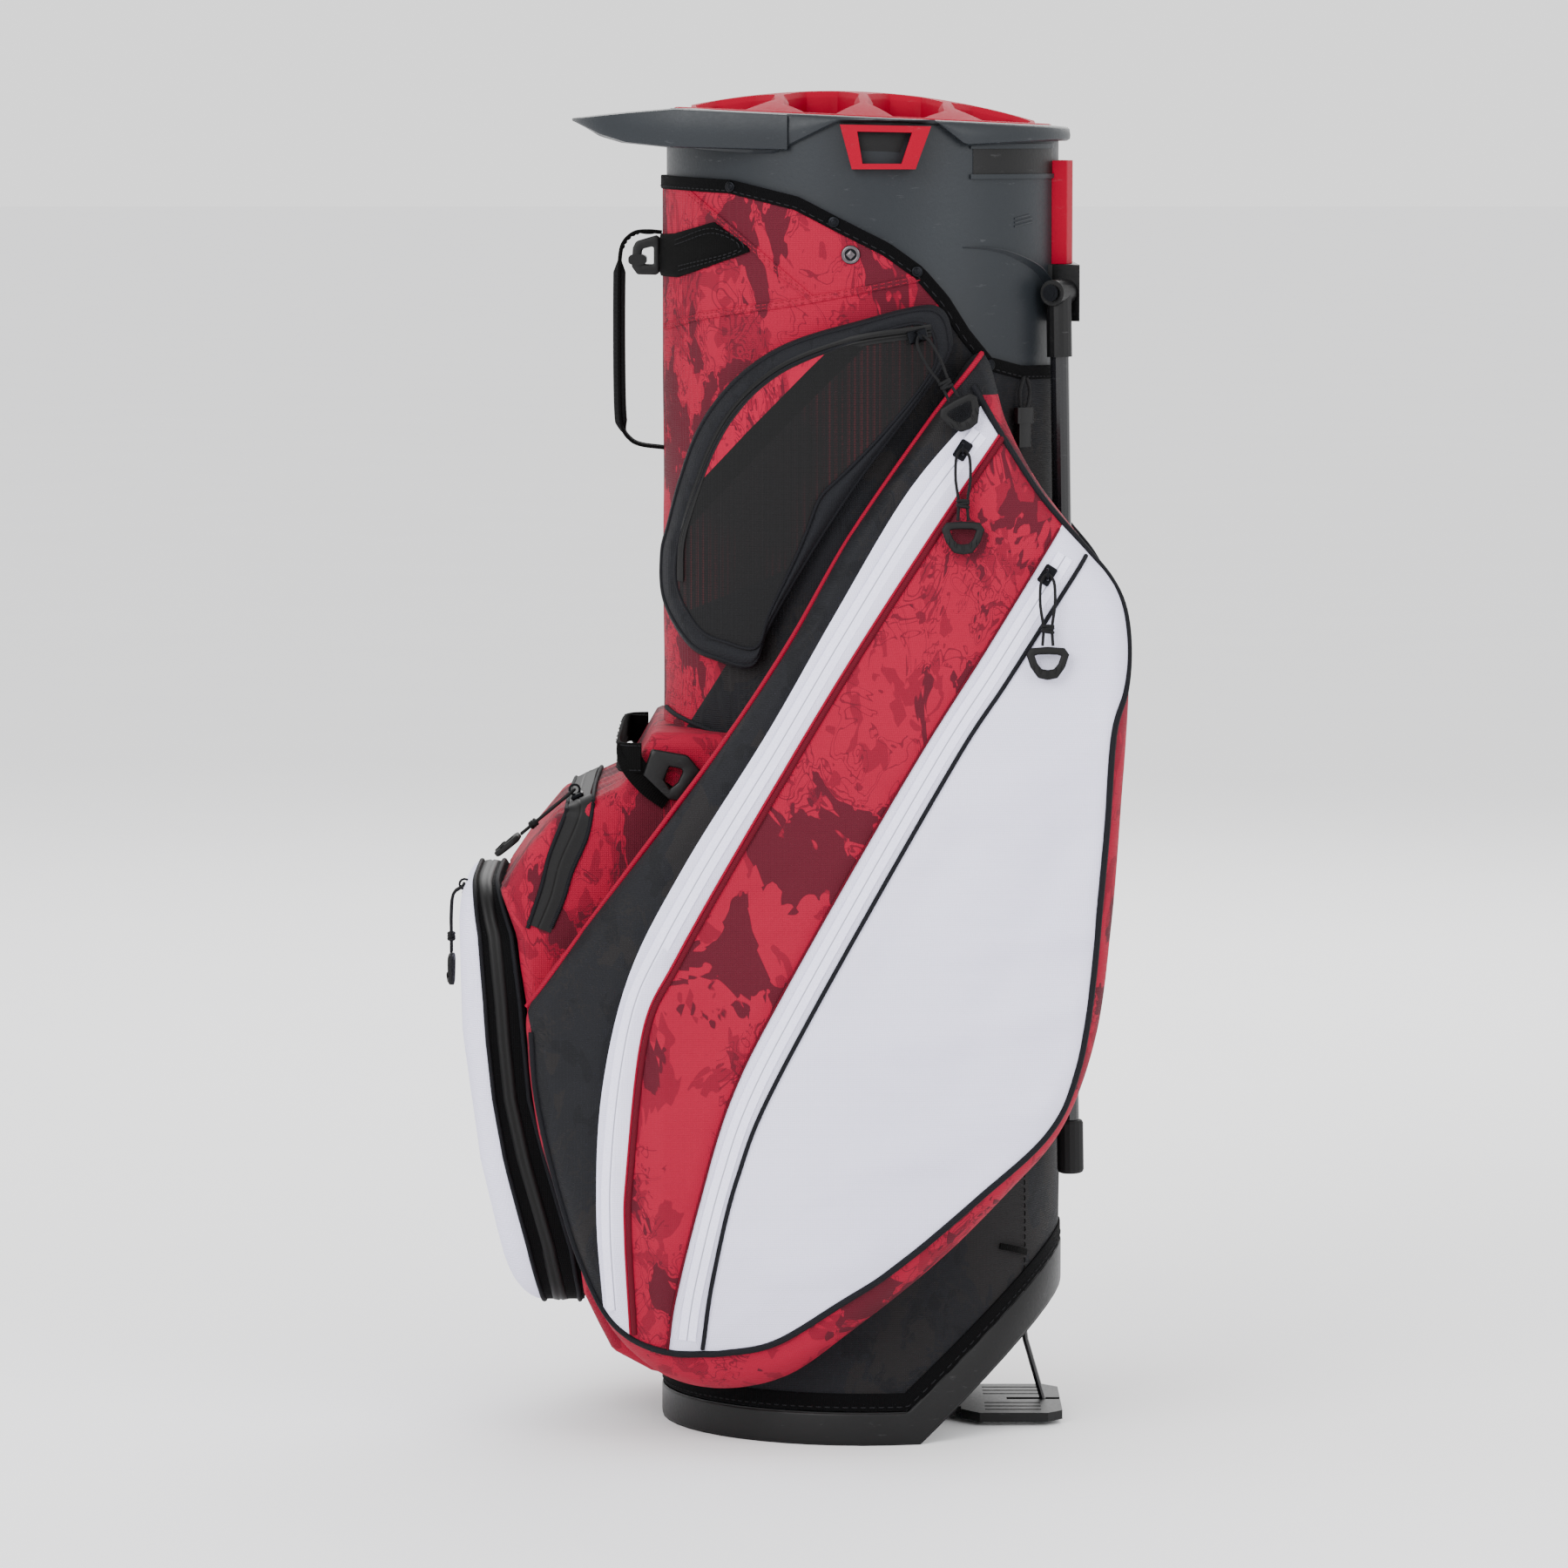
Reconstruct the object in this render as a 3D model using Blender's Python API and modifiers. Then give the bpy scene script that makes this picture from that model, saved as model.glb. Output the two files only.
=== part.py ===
"""Golf stand bag: moulded base and cuff, fabric tube with its pockets, two folding legs and their foot plate.

Metres, +Z up.  The origin is the centre of the base's underside, on the ground.  +X is the back, where the
legs are, and -X the front, where the ball pocket is.  The left side is -Y and the right side +Y.
"""
import math

import bmesh
import bpy
from mathutils import Matrix, Vector

GAP = 0.0003              # clearance between pieces that touch
SEGMENTS = 48             # sides of a round section

# Tube of the body
BODY_HALF_X = 0.1325
BODY_HALF_Y = 0.118
SHELL_WALL = 0.0025
# the shell's top edge drops from the front to the back, as (x, z)
TOP_EDGE = [(-0.16, 0.831), (-0.087, 0.827), (-0.044, 0.8165), (-0.018, 0.803), (0.014, 0.787),
            (0.035, 0.772),
            (0.051, 0.754), (0.065, 0.732), (0.081, 0.7125), (0.103, 0.706), (0.16, 0.704)]

# Moulded base
RIM_HEIGHT = 0.022
RIM_PROUD = 0.0012
BASE_WALL = 0.004
BASE_FLOOR = 0.006
SLEEVE_TOP = 0.125
SLOPE_START = BODY_HALF_X - 0.0945       # where the underside starts to rise towards the back
SLOPE_TANGENT = 0.944
SLOPE_RIM = 0.030         # height of the rim above the slope
SLOPE_WALL = 0.0075

# Moulded top cuff
CUFF_WALL = 0.0035
CUFF_BOTTOM = 0.662
BAND_BOTTOM = 0.847
BAND_HALF_X = BODY_HALF_X + 0.0010
BAND_HALF_Y = BODY_HALF_Y + 0.0025
BAND_SHIFT = 0.004        # the band's centre sits towards the back
BAND_TOP = 0.8683         # height of the band's top face at x = 0
BAND_TILT = -0.0457       # and its rise for each metre towards the back
LIP_TIP = -0.1915
LIP_PLAN = [(-0.085, 0.104), (-0.128, 0.092), (-0.165, 0.072), (-0.184, 0.050), (LIP_TIP, 0.026)]
LIP_HOLE = (-0.173, -0.139, 0.050)      # hand hole: x from, x to, half width

# Domed divider top
DOME_RISE = 0.0175
DOME_WALL = 0.005
DOME_RIM = 0.013          # solid margin round the club openings
ROWS = (-0.0825, -0.0275, 0.0275, 0.0825)
ROW_LENGTH = 0.045
DIVIDER_WALL = 0.0024
DIVIDER_BOTTOM = 0.130
DIVIDER_TOP = 0.858
DIVIDER_BACK = BODY_HALF_X - 0.0325      # the long wall stops short of the push rod
RIB_HALF = 0.005          # half the width of the dome's middle rib

STAY_RADIUS = 0.004
STAY_X = BODY_HALF_X - 0.1050
STAY_TOP = 0.845

# Red grips set into the sides of the cuff, as (x, z)
GRIP_OUTER = [(-0.016, 0.8637), (0.0427, 0.8625), (0.0327, 0.835), (-0.0083, 0.835)]
GRIP_INNER = [(-0.0049, 0.8592), (0.0304, 0.8585), (0.0237, 0.8385), (-0.0015, 0.8385)]
GRIP_DEPTH = (BODY_HALF_Y - 0.0055, BODY_HALF_Y + 0.0055)

# Legs
LEG_PIVOT = Vector((BODY_HALF_X - 0.0045, -0.055, 0.754))
LEG_FOOT = Vector((BODY_HALF_X + 0.0055, -0.060, 0.172))
LEG_SPLAY = math.radians(28)
LEG_RADIUS = 0.0062
YOKE_RADIUS = 0.0085
YOKE_HALF = 0.010
SOCKET_RADIUS = 0.0083
SOCKET_LENGTH = 0.042
SOCKET_FLOOR = 0.0135
PIN_RADIUS = 0.003
FOOT_RADIUS = 0.0088
FOOT_LENGTH = 0.036

# Leg housing and its cover
HOUSING_BOTTOM = 0.735
HOUSING_TOP = 0.772
HOUSING_INNER = BODY_HALF_X - 0.0300
TONGUE_HALF = 0.018
COVER_TOP = 0.840
COVER_THICK = 0.0075
COVER_HALF = 0.034

# Foot plate and push rod
FOOT_HINGE = Vector((BODY_HALF_X - 0.0745, 0.0, 0.0085))
FOOT_PIN_RADIUS = 0.002
FOOT_BARREL = 0.0045
LUG_INSIDE = 0.0285
LUG_WIDTH = 0.005
PLATE_END = BODY_HALF_X + 0.0015
PLATE_HALF = 0.052
PLATE_THICK = 0.006
PLATE_SLOT = 0.003
FORK_START = BODY_HALF_X - 0.0345
ROD_RADIUS = 0.002
ROD_X = BODY_HALF_X - 0.0235
ROD_FOOT = (BODY_HALF_X - 0.0089, 0.0045)
ROD_BEND = 0.055
ROD_TOP = 0.742

# Side pockets: the outline as (x, z), for both sides
SIDE_OUTLINE = [(0.0755, 0.7165), (0.044, 0.676), (-0.008, 0.600), (-0.0475, 0.530), (-0.0875, 0.470),
                (-0.1305, 0.4106), (-0.1764, 0.350), (-0.216, 0.296), (-0.2195, 0.262), (-0.213, 0.210),
                (-0.200, 0.165), (-0.186, 0.122), (-0.163, 0.076), (-0.130, 0.049), (-0.092, 0.040),
                (-0.050, 0.049), (-0.010, 0.078), (0.040, 0.120), (0.090, 0.170), (0.128, 0.215),
                (0.150, 0.275), (0.160, 0.350), (0.166, 0.430), (0.171, 0.510), (0.167, 0.556),
                (0.142, 0.594), (0.112, 0.634), (0.092, 0.672)]
SIDE_CENTRE = (-0.02, 0.36)
SIDE_DEPTH = 0.170
SIDE_INNER = 0.081
SIDE_TAPER_FROM = 0.45
SIDE_TAPER = 0.169

# Mesh pockets on the upper sides
MESH_OUTLINE = [(0.044, 0.7475), (-0.0082, 0.7363), (-0.0475, 0.724), (-0.0739, 0.7083), (-0.0947, 0.6875),
                (-0.1105, 0.6622), (-0.1218, 0.6307), (-0.1297, 0.6009), (-0.1359, 0.580), (-0.1335, 0.5500),
                (-0.1152, 0.5229), (-0.0949, 0.5139), (-0.0730, 0.5110), (-0.064, 0.534), (-0.047, 0.565),
                (-0.024, 0.603), (0.005, 0.646), (0.050, 0.706), (0.057, 0.728)]
MESH_DEPTH = 0.0125

# Front pockets, as (x, z)
FRONT_HALF = 0.107
FRONT_BACK = [(-0.2385, 0.366), (-0.2275, 0.335), (-0.2215, 0.290), (-0.2155, 0.223), (-0.203, 0.179),
              (-0.188, 0.127), (-0.184, 0.098)]
FRONT_TOP = [(-0.055, 0.466), (-0.1375, 0.4695), (-0.150, 0.448), (-0.158, 0.435), (-0.172, 0.4285),
             (-0.2016, 0.415), (-0.220, 0.392)]
FRONT_BOTTOM = [(-0.165, 0.060), (-0.1375, 0.045), (-0.055, 0.045)]
BALL_FRONT = [(-0.2400, 0.3690), (-0.267, 0.352), (-0.2687, 0.343), (-0.2655, 0.267), (-0.256, 0.185),
              (-0.241, 0.122), (-0.231, 0.0945), (-0.2173, 0.0844), (-0.197, 0.0875), (-0.1865, 0.0955)]
BALL_STATIONS = [(-0.100, 0.50), (-0.094, 0.68), (-0.080, 0.86), (-0.045, 0.97), (0.0, 1.0),
                 (0.045, 0.97), (0.080, 0.86), (0.094, 0.68), (0.100, 0.50)]

# Handles on the front
WEBBING_THICK = 0.002
WEBBING = [(-0.16, 0.7915), (-0.1239, 0.7925), (-0.0977, 0.801), (-0.072, 0.782), (-0.1217, 0.7635),
           (-0.16, 0.7635)]
CLIP_FRONT = -BODY_HALF_X - 0.0200
CLIP_BOTTOM = 0.7612
CLIP_TOP = 0.7862
CLIP_HALF = 0.013
HANDLE_X = -BODY_HALF_X - 0.0283
HANDLE_RADIUS = 0.0072
HANDLE_STRAP = 0.0026     # radius of the webbing at the handle's ends
GRAB_X = -0.1622
GRAB_LOW = 0.4435
GRAB_HIGH = 0.4635
GRAB_THICK = 0.003
RING_OUTER = (-0.1455, -0.1155, 0.4370, 0.4640)
RING_BAR = 0.0055
RING_DEPTH = (0.1085, 0.1135)

# Back: hip pad and folded shoulder straps
HIP_LOW = 0.300
HIP_HIGH = 0.535
HIP_FRONT = BODY_HALF_X - 0.0225
HIP_BACK = BODY_HALF_X + 0.0145
HIP_HALF = 0.040
STRAP_LOW = 0.283
STRAP_HIGH = 0.530
STRAP_THICK = 0.0115
STRAP_WIDTH = 0.038
HUB_HIGH = 0.558
ANCHOR_LOW = 0.258

# Zip pulls
SLIDER_LENGTH = 0.013
SLIDER_WIDTH = 0.0085
SLIDER_THICK = 0.003
SLIDER_FLOAT = 0.0008     # height of the slider's underside above the zip
ARCH_RADIUS = 0.0034
ARCH_WIRE = 0.0008
ARCH_HEIGHT = 0.0067      # height of the arch's middle above the zip
CORD_RADIUS = 0.0010
MESH_ZIP = (0.0336, 0.7280)
MESH_LIFT = 0.0006
PULL_STRAND = 0.046       # from the arch to the grip
LOOP_HALF = 0.0045        # half the width of the cord's loop
LEDGE_REACH = 0.0095      # a cord that passes over a ledge is clear of it after this
BALL_STAND_OFF = 0.0085   # the ball pocket's pull hangs this far in front of its arch
MESH_STAND_OFF = SIDE_DEPTH - 0.1655     # and the mesh pocket's pull lies on the side pocket
GRIP_LENGTH = 0.022
GRIP_HALF = 0.014
GRIP_THICK = 0.0045

for leftover in list(bpy.data.objects):
    bpy.data.objects.remove(leftover, do_unlink=True)

bag = bpy.data.collections.new("golf_stand_bag")
cutters = bpy.data.collections.new("cutters")
bpy.context.scene.collection.children.link(bag)
bpy.context.scene.collection.children.link(cutters)


def material(name, colour, roughness, metallic=0.0):
    """A Principled material of one plain colour."""
    made = bpy.data.materials.new(name)
    made.use_nodes = True
    shader = made.node_tree.nodes["Principled BSDF"]
    shader.inputs["Base Color"].default_value = (*colour, 1.0)
    shader.inputs["Roughness"].default_value = roughness
    shader.inputs["Metallic"].default_value = metallic
    return made


GREY_PLASTIC = ("grey_plastic", (0.045, 0.052, 0.060), 0.42)
BLACK_PLASTIC = ("black_plastic", (0.012, 0.012, 0.014), 0.35)
RED_PLASTIC = ("red_plastic", (0.58, 0.02, 0.05), 0.40)
RED_FABRIC = ("red_fabric", (0.55, 0.012, 0.045), 0.80)
WHITE_FABRIC = ("white_fabric", (0.80, 0.79, 0.86), 0.75)
BLACK_FABRIC = ("black_fabric", (0.012, 0.012, 0.016), 0.85)
BLACK_TUBE = ("black_enamel", (0.010, 0.010, 0.012), 0.18, 0.6)
STEEL = ("steel", (0.45, 0.45, 0.46), 0.30, 1.0)
RUBBER = ("rubber", (0.015, 0.015, 0.015), 0.70)
CORD = ("cord", (0.010, 0.010, 0.012), 0.80)


def keep(obj, name, finish):
    """Names a finished piece, gives it its own material and puts it with the bag's pieces."""
    obj.name = name
    obj.data.name = name
    obj.data.materials.clear()
    obj.data.materials.append(material(f"{name}_{finish[0]}", *finish[1:]))
    for owner in list(obj.users_collection):
        owner.objects.unlink(obj)
    bag.objects.link(obj)
    obj.data.shade_smooth()
    obj.data.set_sharp_from_angle(angle=math.radians(35))
    return obj


def hide_cutter(obj):
    """Moves a piece used only to cut another into the cutters' collection."""
    for owner in list(obj.users_collection):
        owner.objects.unlink(obj)
    cutters.objects.link(obj)
    obj.hide_render = True
    obj.display_type = "WIRE"
    return obj


def combine(obj, other, operation="DIFFERENCE"):
    """Cuts obj with other, or joins or intersects the two."""
    boolean = obj.modifiers.new(f"{operation.lower()}_{other.name}", "BOOLEAN")
    boolean.operation = operation
    boolean.solver = "EXACT"
    boolean.object = hide_cutter(other)
    return obj


def round_edges(obj, width, segments=2, angle=40):
    """Rounds the edges that turn by more than an angle."""
    bevel = obj.modifiers.new("rounding", "BEVEL")
    bevel.width = width
    bevel.segments = segments
    bevel.limit_method = "ANGLE"
    bevel.angle_limit = math.radians(angle)
    return obj


def put_origin(obj, point):
    """Moves a piece's origin to a point, such as one on its joint's axis, without moving the piece."""
    obj.data.transform(Matrix.Translation(-Vector(point)))
    obj.location = point
    return obj


def bake(obj):
    """Applies a piece's own place and scale to its mesh."""
    bpy.context.view_layer.update()
    obj.data.transform(obj.matrix_world)
    obj.matrix_world = Matrix.Identity(4)
    return obj


def oval(name, half_x, half_y, low, high, shift=0.0, segments=SEGMENTS):
    """A solid oval cylinder between two heights."""
    bpy.ops.mesh.primitive_cylinder_add(vertices=segments, radius=1.0, depth=high - low,
                                        location=(shift, 0.0, (low + high) / 2))
    obj = bpy.context.object
    obj.name = name
    obj.scale = (half_x, half_y, 1.0)
    return bake(obj)


def rod(name, start, end, radius, sides=16):
    """A solid round bar between two points."""
    start = Vector(start)
    end = Vector(end)
    bpy.ops.mesh.primitive_cylinder_add(vertices=sides, radius=radius, depth=(end - start).length)
    obj = bpy.context.object
    obj.name = name
    turn = (end - start).to_track_quat("Z", "Y").to_matrix().to_4x4()
    obj.matrix_world = Matrix.Translation((start + end) / 2) @ turn
    return bake(obj)


def block(name, low, high):
    """A solid box between two corners."""
    bpy.ops.mesh.primitive_cube_add(size=1.0)
    obj = bpy.context.object
    obj.name = name
    obj.location = (Vector(low) + Vector(high)) / 2
    obj.scale = Vector(high) - Vector(low)
    return bake(obj)


def solid_from_curve(obj, name):
    """Turns a curve object into a closed mesh with welded caps."""
    bpy.context.view_layer.update()
    evaluated = obj.evaluated_get(bpy.context.evaluated_depsgraph_get())
    mesh = bpy.data.meshes.new_from_object(evaluated)
    mesh.transform(obj.matrix_world)
    welded = bmesh.new()
    welded.from_mesh(mesh)
    bmesh.ops.remove_doubles(welded, verts=welded.verts, dist=0.00001)
    bmesh.ops.recalc_face_normals(welded, faces=welded.faces)
    welded.to_mesh(mesh)
    welded.free()
    made = bpy.data.objects.new(name, mesh)
    bpy.context.scene.collection.objects.link(made)
    bpy.data.objects.remove(obj, do_unlink=True)
    return made


def prism(name, outline, low, high, upright):
    """An extruded flat outline: of (x, z) along Y when upright, else of (x, y) along Z."""
    curve = bpy.data.curves.new(name, "CURVE")
    curve.dimensions = "2D"
    curve.fill_mode = "BOTH"
    curve.extrude = (high - low) / 2
    spline = curve.splines.new("POLY")
    spline.points.add(len(outline) - 1)
    for point, (first, second) in zip(spline.points, outline):
        point.co = (first, second, 0.0, 1.0)
    spline.use_cyclic_u = True
    obj = bpy.data.objects.new(name, curve)
    bpy.context.scene.collection.objects.link(obj)
    middle = (low + high) / 2
    obj.location = (0.0, middle, 0.0) if upright else (0.0, 0.0, middle)
    obj.rotation_euler = (math.pi / 2, 0.0, 0.0) if upright else (0.0, 0.0, 0.0)
    return solid_from_curve(obj, name)


def side_prism(name, outline, low, high):
    """An outline of (x, z) extruded along Y."""
    return prism(name, outline, low, high, True)


def plan_prism(name, outline, low, high):
    """An outline of (x, y) extruded along Z."""
    return prism(name, outline, low, high, False)


def smooth(points, steps, closed=False):
    """Points on a smooth curve that passes through the given points, with some steps between each pair."""
    count = len(points)
    spans = count if closed else count - 1
    made = []
    for i in range(spans):
        if closed:
            a, b, c, d = (Vector(points[(i + k) % count]) for k in (-1, 0, 1, 2))
        else:
            a, b, c, d = (Vector(points[min(max(i + k, 0), count - 1)]) for k in (-1, 0, 1, 2))
        for j in range(steps):
            t = j / steps
            made.append(0.5 * (2 * b + (c - a) * t + (2 * a - 5 * b + 4 * c - d) * t ** 2
                               + (3 * b - a - 3 * c + d) * t ** 3))
    if not closed:
        made.append(Vector(points[-1]))
    return made


def tube(name, points, radius, resolution=2, radii=None):
    """A solid tube along the points, with filled ends."""
    curve = bpy.data.curves.new(name, "CURVE")
    curve.dimensions = "3D"
    curve.bevel_depth = radius
    curve.bevel_resolution = resolution
    curve.use_fill_caps = True
    spline = curve.splines.new("POLY")
    spline.points.add(len(points) - 1)
    for i, (point, place) in enumerate(zip(spline.points, points)):
        point.co = (*place, 1.0)
        point.radius = radii[i] if radii else 1.0
    obj = bpy.data.objects.new(name, curve)
    bpy.context.scene.collection.objects.link(obj)
    return solid_from_curve(obj, name)


def loft(name, rings, centre_caps=False):
    """A closed solid through rings of equally many points, capped flat or to the middle of each end ring."""
    shape = bmesh.new()
    rows = [[shape.verts.new(p) for p in ring] for ring in rings]
    count = len(rings[0])
    for lower, upper in zip(rows, rows[1:]):
        for i in range(count):
            j = (i + 1) % count
            shape.faces.new((lower[i], lower[j], upper[j], upper[i]))
    for row in (rows[0], rows[-1]):
        if centre_caps:
            middle = shape.verts.new(sum((v.co for v in row), Vector()) / count)
            for i in range(count):
                shape.faces.new((row[i], row[(i + 1) % count], middle))
        else:
            shape.faces.new(row)
    bmesh.ops.recalc_face_normals(shape, faces=shape.faces)
    mesh = bpy.data.meshes.new(name)
    shape.to_mesh(mesh)
    shape.free()
    obj = bpy.data.objects.new(name, mesh)
    bpy.context.scene.collection.objects.link(obj)
    return obj


def slope(x):
    """Height of the base's sloping underside."""
    return (x - SLOPE_START) * SLOPE_TANGENT


def half_width(x, half_x, half_y):
    """Half the width of an oval at a distance from its middle."""
    return half_y * math.sqrt(max(0.0, 1 - (x / half_x) ** 2))


def below_slope(name, lift):
    """Everything under the sloping underside, raised by a lift."""
    return side_prism(name,
                      [(SLOPE_START - lift / SLOPE_TANGENT, 0.0), (0.2, slope(0.2) + lift), (0.2, -0.05),
                             (SLOPE_START - lift / SLOPE_TANGENT, -0.05)], -0.2, 0.2)


SLEEVE_X = BODY_HALF_X - SHELL_WALL - GAP
SLEEVE_Y = BODY_HALF_Y - SHELL_WALL - GAP
REACH = 0.2               # past every wall


def rim_line(lift):
    """The rim's top line from front to back, raised by a lift."""
    knee = SLOPE_START + (RIM_HEIGHT - SLOPE_RIM) / SLOPE_TANGENT
    return [(-REACH, RIM_HEIGHT + lift), (knee, RIM_HEIGHT + lift), (REACH, slope(REACH) + SLOPE_RIM + lift)]


def build_base():
    """The moulded base: a cup with a rim that the fabric stands on, a sloping heel and two hinge lugs."""
    base = oval("base_cup", BODY_HALF_X + RIM_PROUD, BODY_HALF_Y + RIM_PROUD, 0.0, 0.2)
    combine(base, side_prism("rim_limit", [(-REACH, -0.01), (REACH, -0.01)] + rim_line(0.0)[::-1],
                             -REACH, REACH), "INTERSECT")
    combine(base, oval("base_sleeve", SLEEVE_X, SLEEVE_Y, 0.002, SLEEVE_TOP), "UNION")
    cavity = oval("base_cavity", SLEEVE_X - BASE_WALL, SLEEVE_Y - BASE_WALL, BASE_FLOOR, 0.3)
    combine(cavity, below_slope("cavity_slope", SLOPE_WALL))
    combine(base, below_slope("underside_slope", 0.0))
    combine(base, cavity)
    x, z = FOOT_HINGE.x, FOOT_HINGE.z
    lug = [(x - 0.0055, z), (x - 0.004, z - 0.0042), (x, z - 0.0055), (x + 0.004, z - 0.0042),
           (x + 0.0055, z),
           (x + 0.0075, slope(x + 0.0075) + SLOPE_WALL / 2), (x - 0.0075, slope(x - 0.0075) + SLOPE_WALL / 2)]
    for side in (-1, 1):
        near, far = sorted((side * LUG_INSIDE, side * (LUG_INSIDE + LUG_WIDTH)))
        combine(base, side_prism("hinge_lug", lug, near, far), "UNION")
    reach = LUG_INSIDE + LUG_WIDTH + 0.002
    combine(base, rod("lug_bore", (x, -reach, z), (x, reach, z), FOOT_PIN_RADIUS + GAP))
    combine(base,
            block("rod_slot", (ROD_X - 0.0045, -0.004, 0.03), (ROD_X + 0.0125, 0.004, SLEEVE_TOP + 0.01)))
    keep(base, "base_cup", BLACK_PLASTIC)


def build_shell():
    """The fabric tube, from the rim of the base to its sloping top edge."""
    shell = oval("body_shell", BODY_HALF_X, BODY_HALF_Y, 0.001, 0.9)
    combine(shell, oval("shell_bore", BODY_HALF_X - SHELL_WALL, BODY_HALF_Y - SHELL_WALL, -0.05, 0.95))
    combine(shell,
            side_prism("shell_foot", [(-REACH, -0.05), (REACH, -0.05)] + rim_line(GAP)[::-1], -REACH, REACH))
    combine(shell, side_prism("shell_head", TOP_EDGE + [(0.16, 1.0), (-0.16, 1.0)], -REACH, REACH))
    keep(shell, "body_shell", RED_FABRIC)


def band_top(x, lift=0.0):
    """Height of the cuff's tilted top face."""
    return BAND_TOP + BAND_TILT * x + lift


def build_cuff():
    """The moulded cuff: a sleeve inside the fabric, a band round the top and a front lip with a hand hole."""
    cuff = oval("top_cuff", SLEEVE_X, SLEEVE_Y, CUFF_BOTTOM, 0.9)
    combine(cuff, oval("cuff_band", BAND_HALF_X, BAND_HALF_Y, BAND_BOTTOM, 0.9, BAND_SHIFT), "UNION")
    edge = [(x, -y) for x, y in LIP_PLAN] + [(x, y) for x, y in reversed(LIP_PLAN)]
    lip = plan_prism("lip_plan", edge, BAND_BOTTOM - 0.02, 0.9)
    under = [(LIP_TIP - 0.01, 0.8655), (LIP_TIP, 0.8655), (-0.1564, 0.8525), (-0.130, BAND_BOTTOM + 0.0005),
             (-0.05, BAND_BOTTOM + 0.0005)]
    combine(lip, side_prism("lip_side", under + [(-0.05, 0.95), (LIP_TIP - 0.01, 0.95)], -REACH, REACH),
            "INTERSECT")
    combine(cuff, lip, "UNION")
    above = [(-0.25, band_top(-0.13)), (-0.13, band_top(-0.13)), (0.25, band_top(0.25)), (0.25, 1.0),
             (-0.25, 1.0)]
    above[0] = (-0.25, band_top(-0.13) - 0.012)
    combine(cuff, side_prism("above_band", above, -REACH, REACH))
    combine(cuff, oval("cuff_bore", SLEEVE_X - CUFF_WALL, SLEEVE_Y - CUFF_WALL, 0.5, 0.95))
    grow = [(-1, 1), (1, 1), (1, -1), (-1, -1)]
    window = [(x + GAP * i, z + GAP * k) for (x, z), (i, k) in zip(GRIP_OUTER, grow)]
    combine(cuff, side_prism("grip_window", window, -REACH, REACH))
    hole = [(LIP_HOLE[0], -LIP_HOLE[2] + 0.012), (LIP_HOLE[0] + 0.012, -LIP_HOLE[2]),
            (LIP_HOLE[1], -LIP_HOLE[2]),
            (LIP_HOLE[1], LIP_HOLE[2]), (LIP_HOLE[0] + 0.012, LIP_HOLE[2]),
            (LIP_HOLE[0], LIP_HOLE[2] - 0.012)]
    combine(cuff, plan_prism("hand_hole", hole, 0.8, 0.95))
    combine(cuff, block("housing_window", (0.09, -TONGUE_HALF - GAP, HOUSING_BOTTOM - GAP),
                        (REACH, TONGUE_HALF + GAP, HOUSING_TOP + GAP)))
    keep(cuff, "top_cuff", GREY_PLASTIC)


def build_divider_top():
    """The domed top plate with its eight club openings, made as an open dome that is thickened."""
    half_x = SLEEVE_X - CUFF_WALL - GAP
    half_y = SLEEVE_Y - CUFF_WALL - GAP
    sheet = bmesh.new()
    centre = sheet.verts.new((0.0, 0.0, band_top(0.0) + DOME_RISE))
    rows = []
    for share in (0.35, 0.65, 0.85, 1.0):
        row = []
        for i in range(SEGMENTS):
            turn = 2 * math.pi * (i + 0.5) / SEGMENTS
            x = share * half_x * math.cos(turn)
            y = share * half_y * math.sin(turn)
            row.append(sheet.verts.new((x, y, band_top(x) + DOME_RISE * (1 - share ** 2))))
        rows.append(row)
    for i in range(SEGMENTS):
        j = (i + 1) % SEGMENTS
        sheet.faces.new((centre, rows[0][i], rows[0][j]))
        for inner, outer in zip(rows, rows[1:]):
            sheet.faces.new((inner[i], outer[i], outer[j], inner[j]))
    mesh = bpy.data.meshes.new("divider_top")
    sheet.to_mesh(mesh)
    sheet.free()
    dome = bpy.data.objects.new("divider_top", mesh)
    bpy.context.scene.collection.objects.link(dome)
    wall = dome.modifiers.new("thickness", "SOLIDIFY")
    wall.thickness = DOME_WALL
    wall.offset = -1.0
    for x in ROWS:
        for side in (-1, 1):
            near, far = sorted((side * RIB_HALF, side * 0.15))
            hole = block("club_hole", (x - ROW_LENGTH / 2, near, 0.8), (x + ROW_LENGTH / 2, far, 0.95))
            combine(hole, oval("hole_limit", half_x - DOME_RIM, half_y - DOME_RIM, 0.82, 0.93), "INTERSECT")
            combine(dome, hole)
    keep(dome, "divider_top", RED_PLASTIC)


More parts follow.
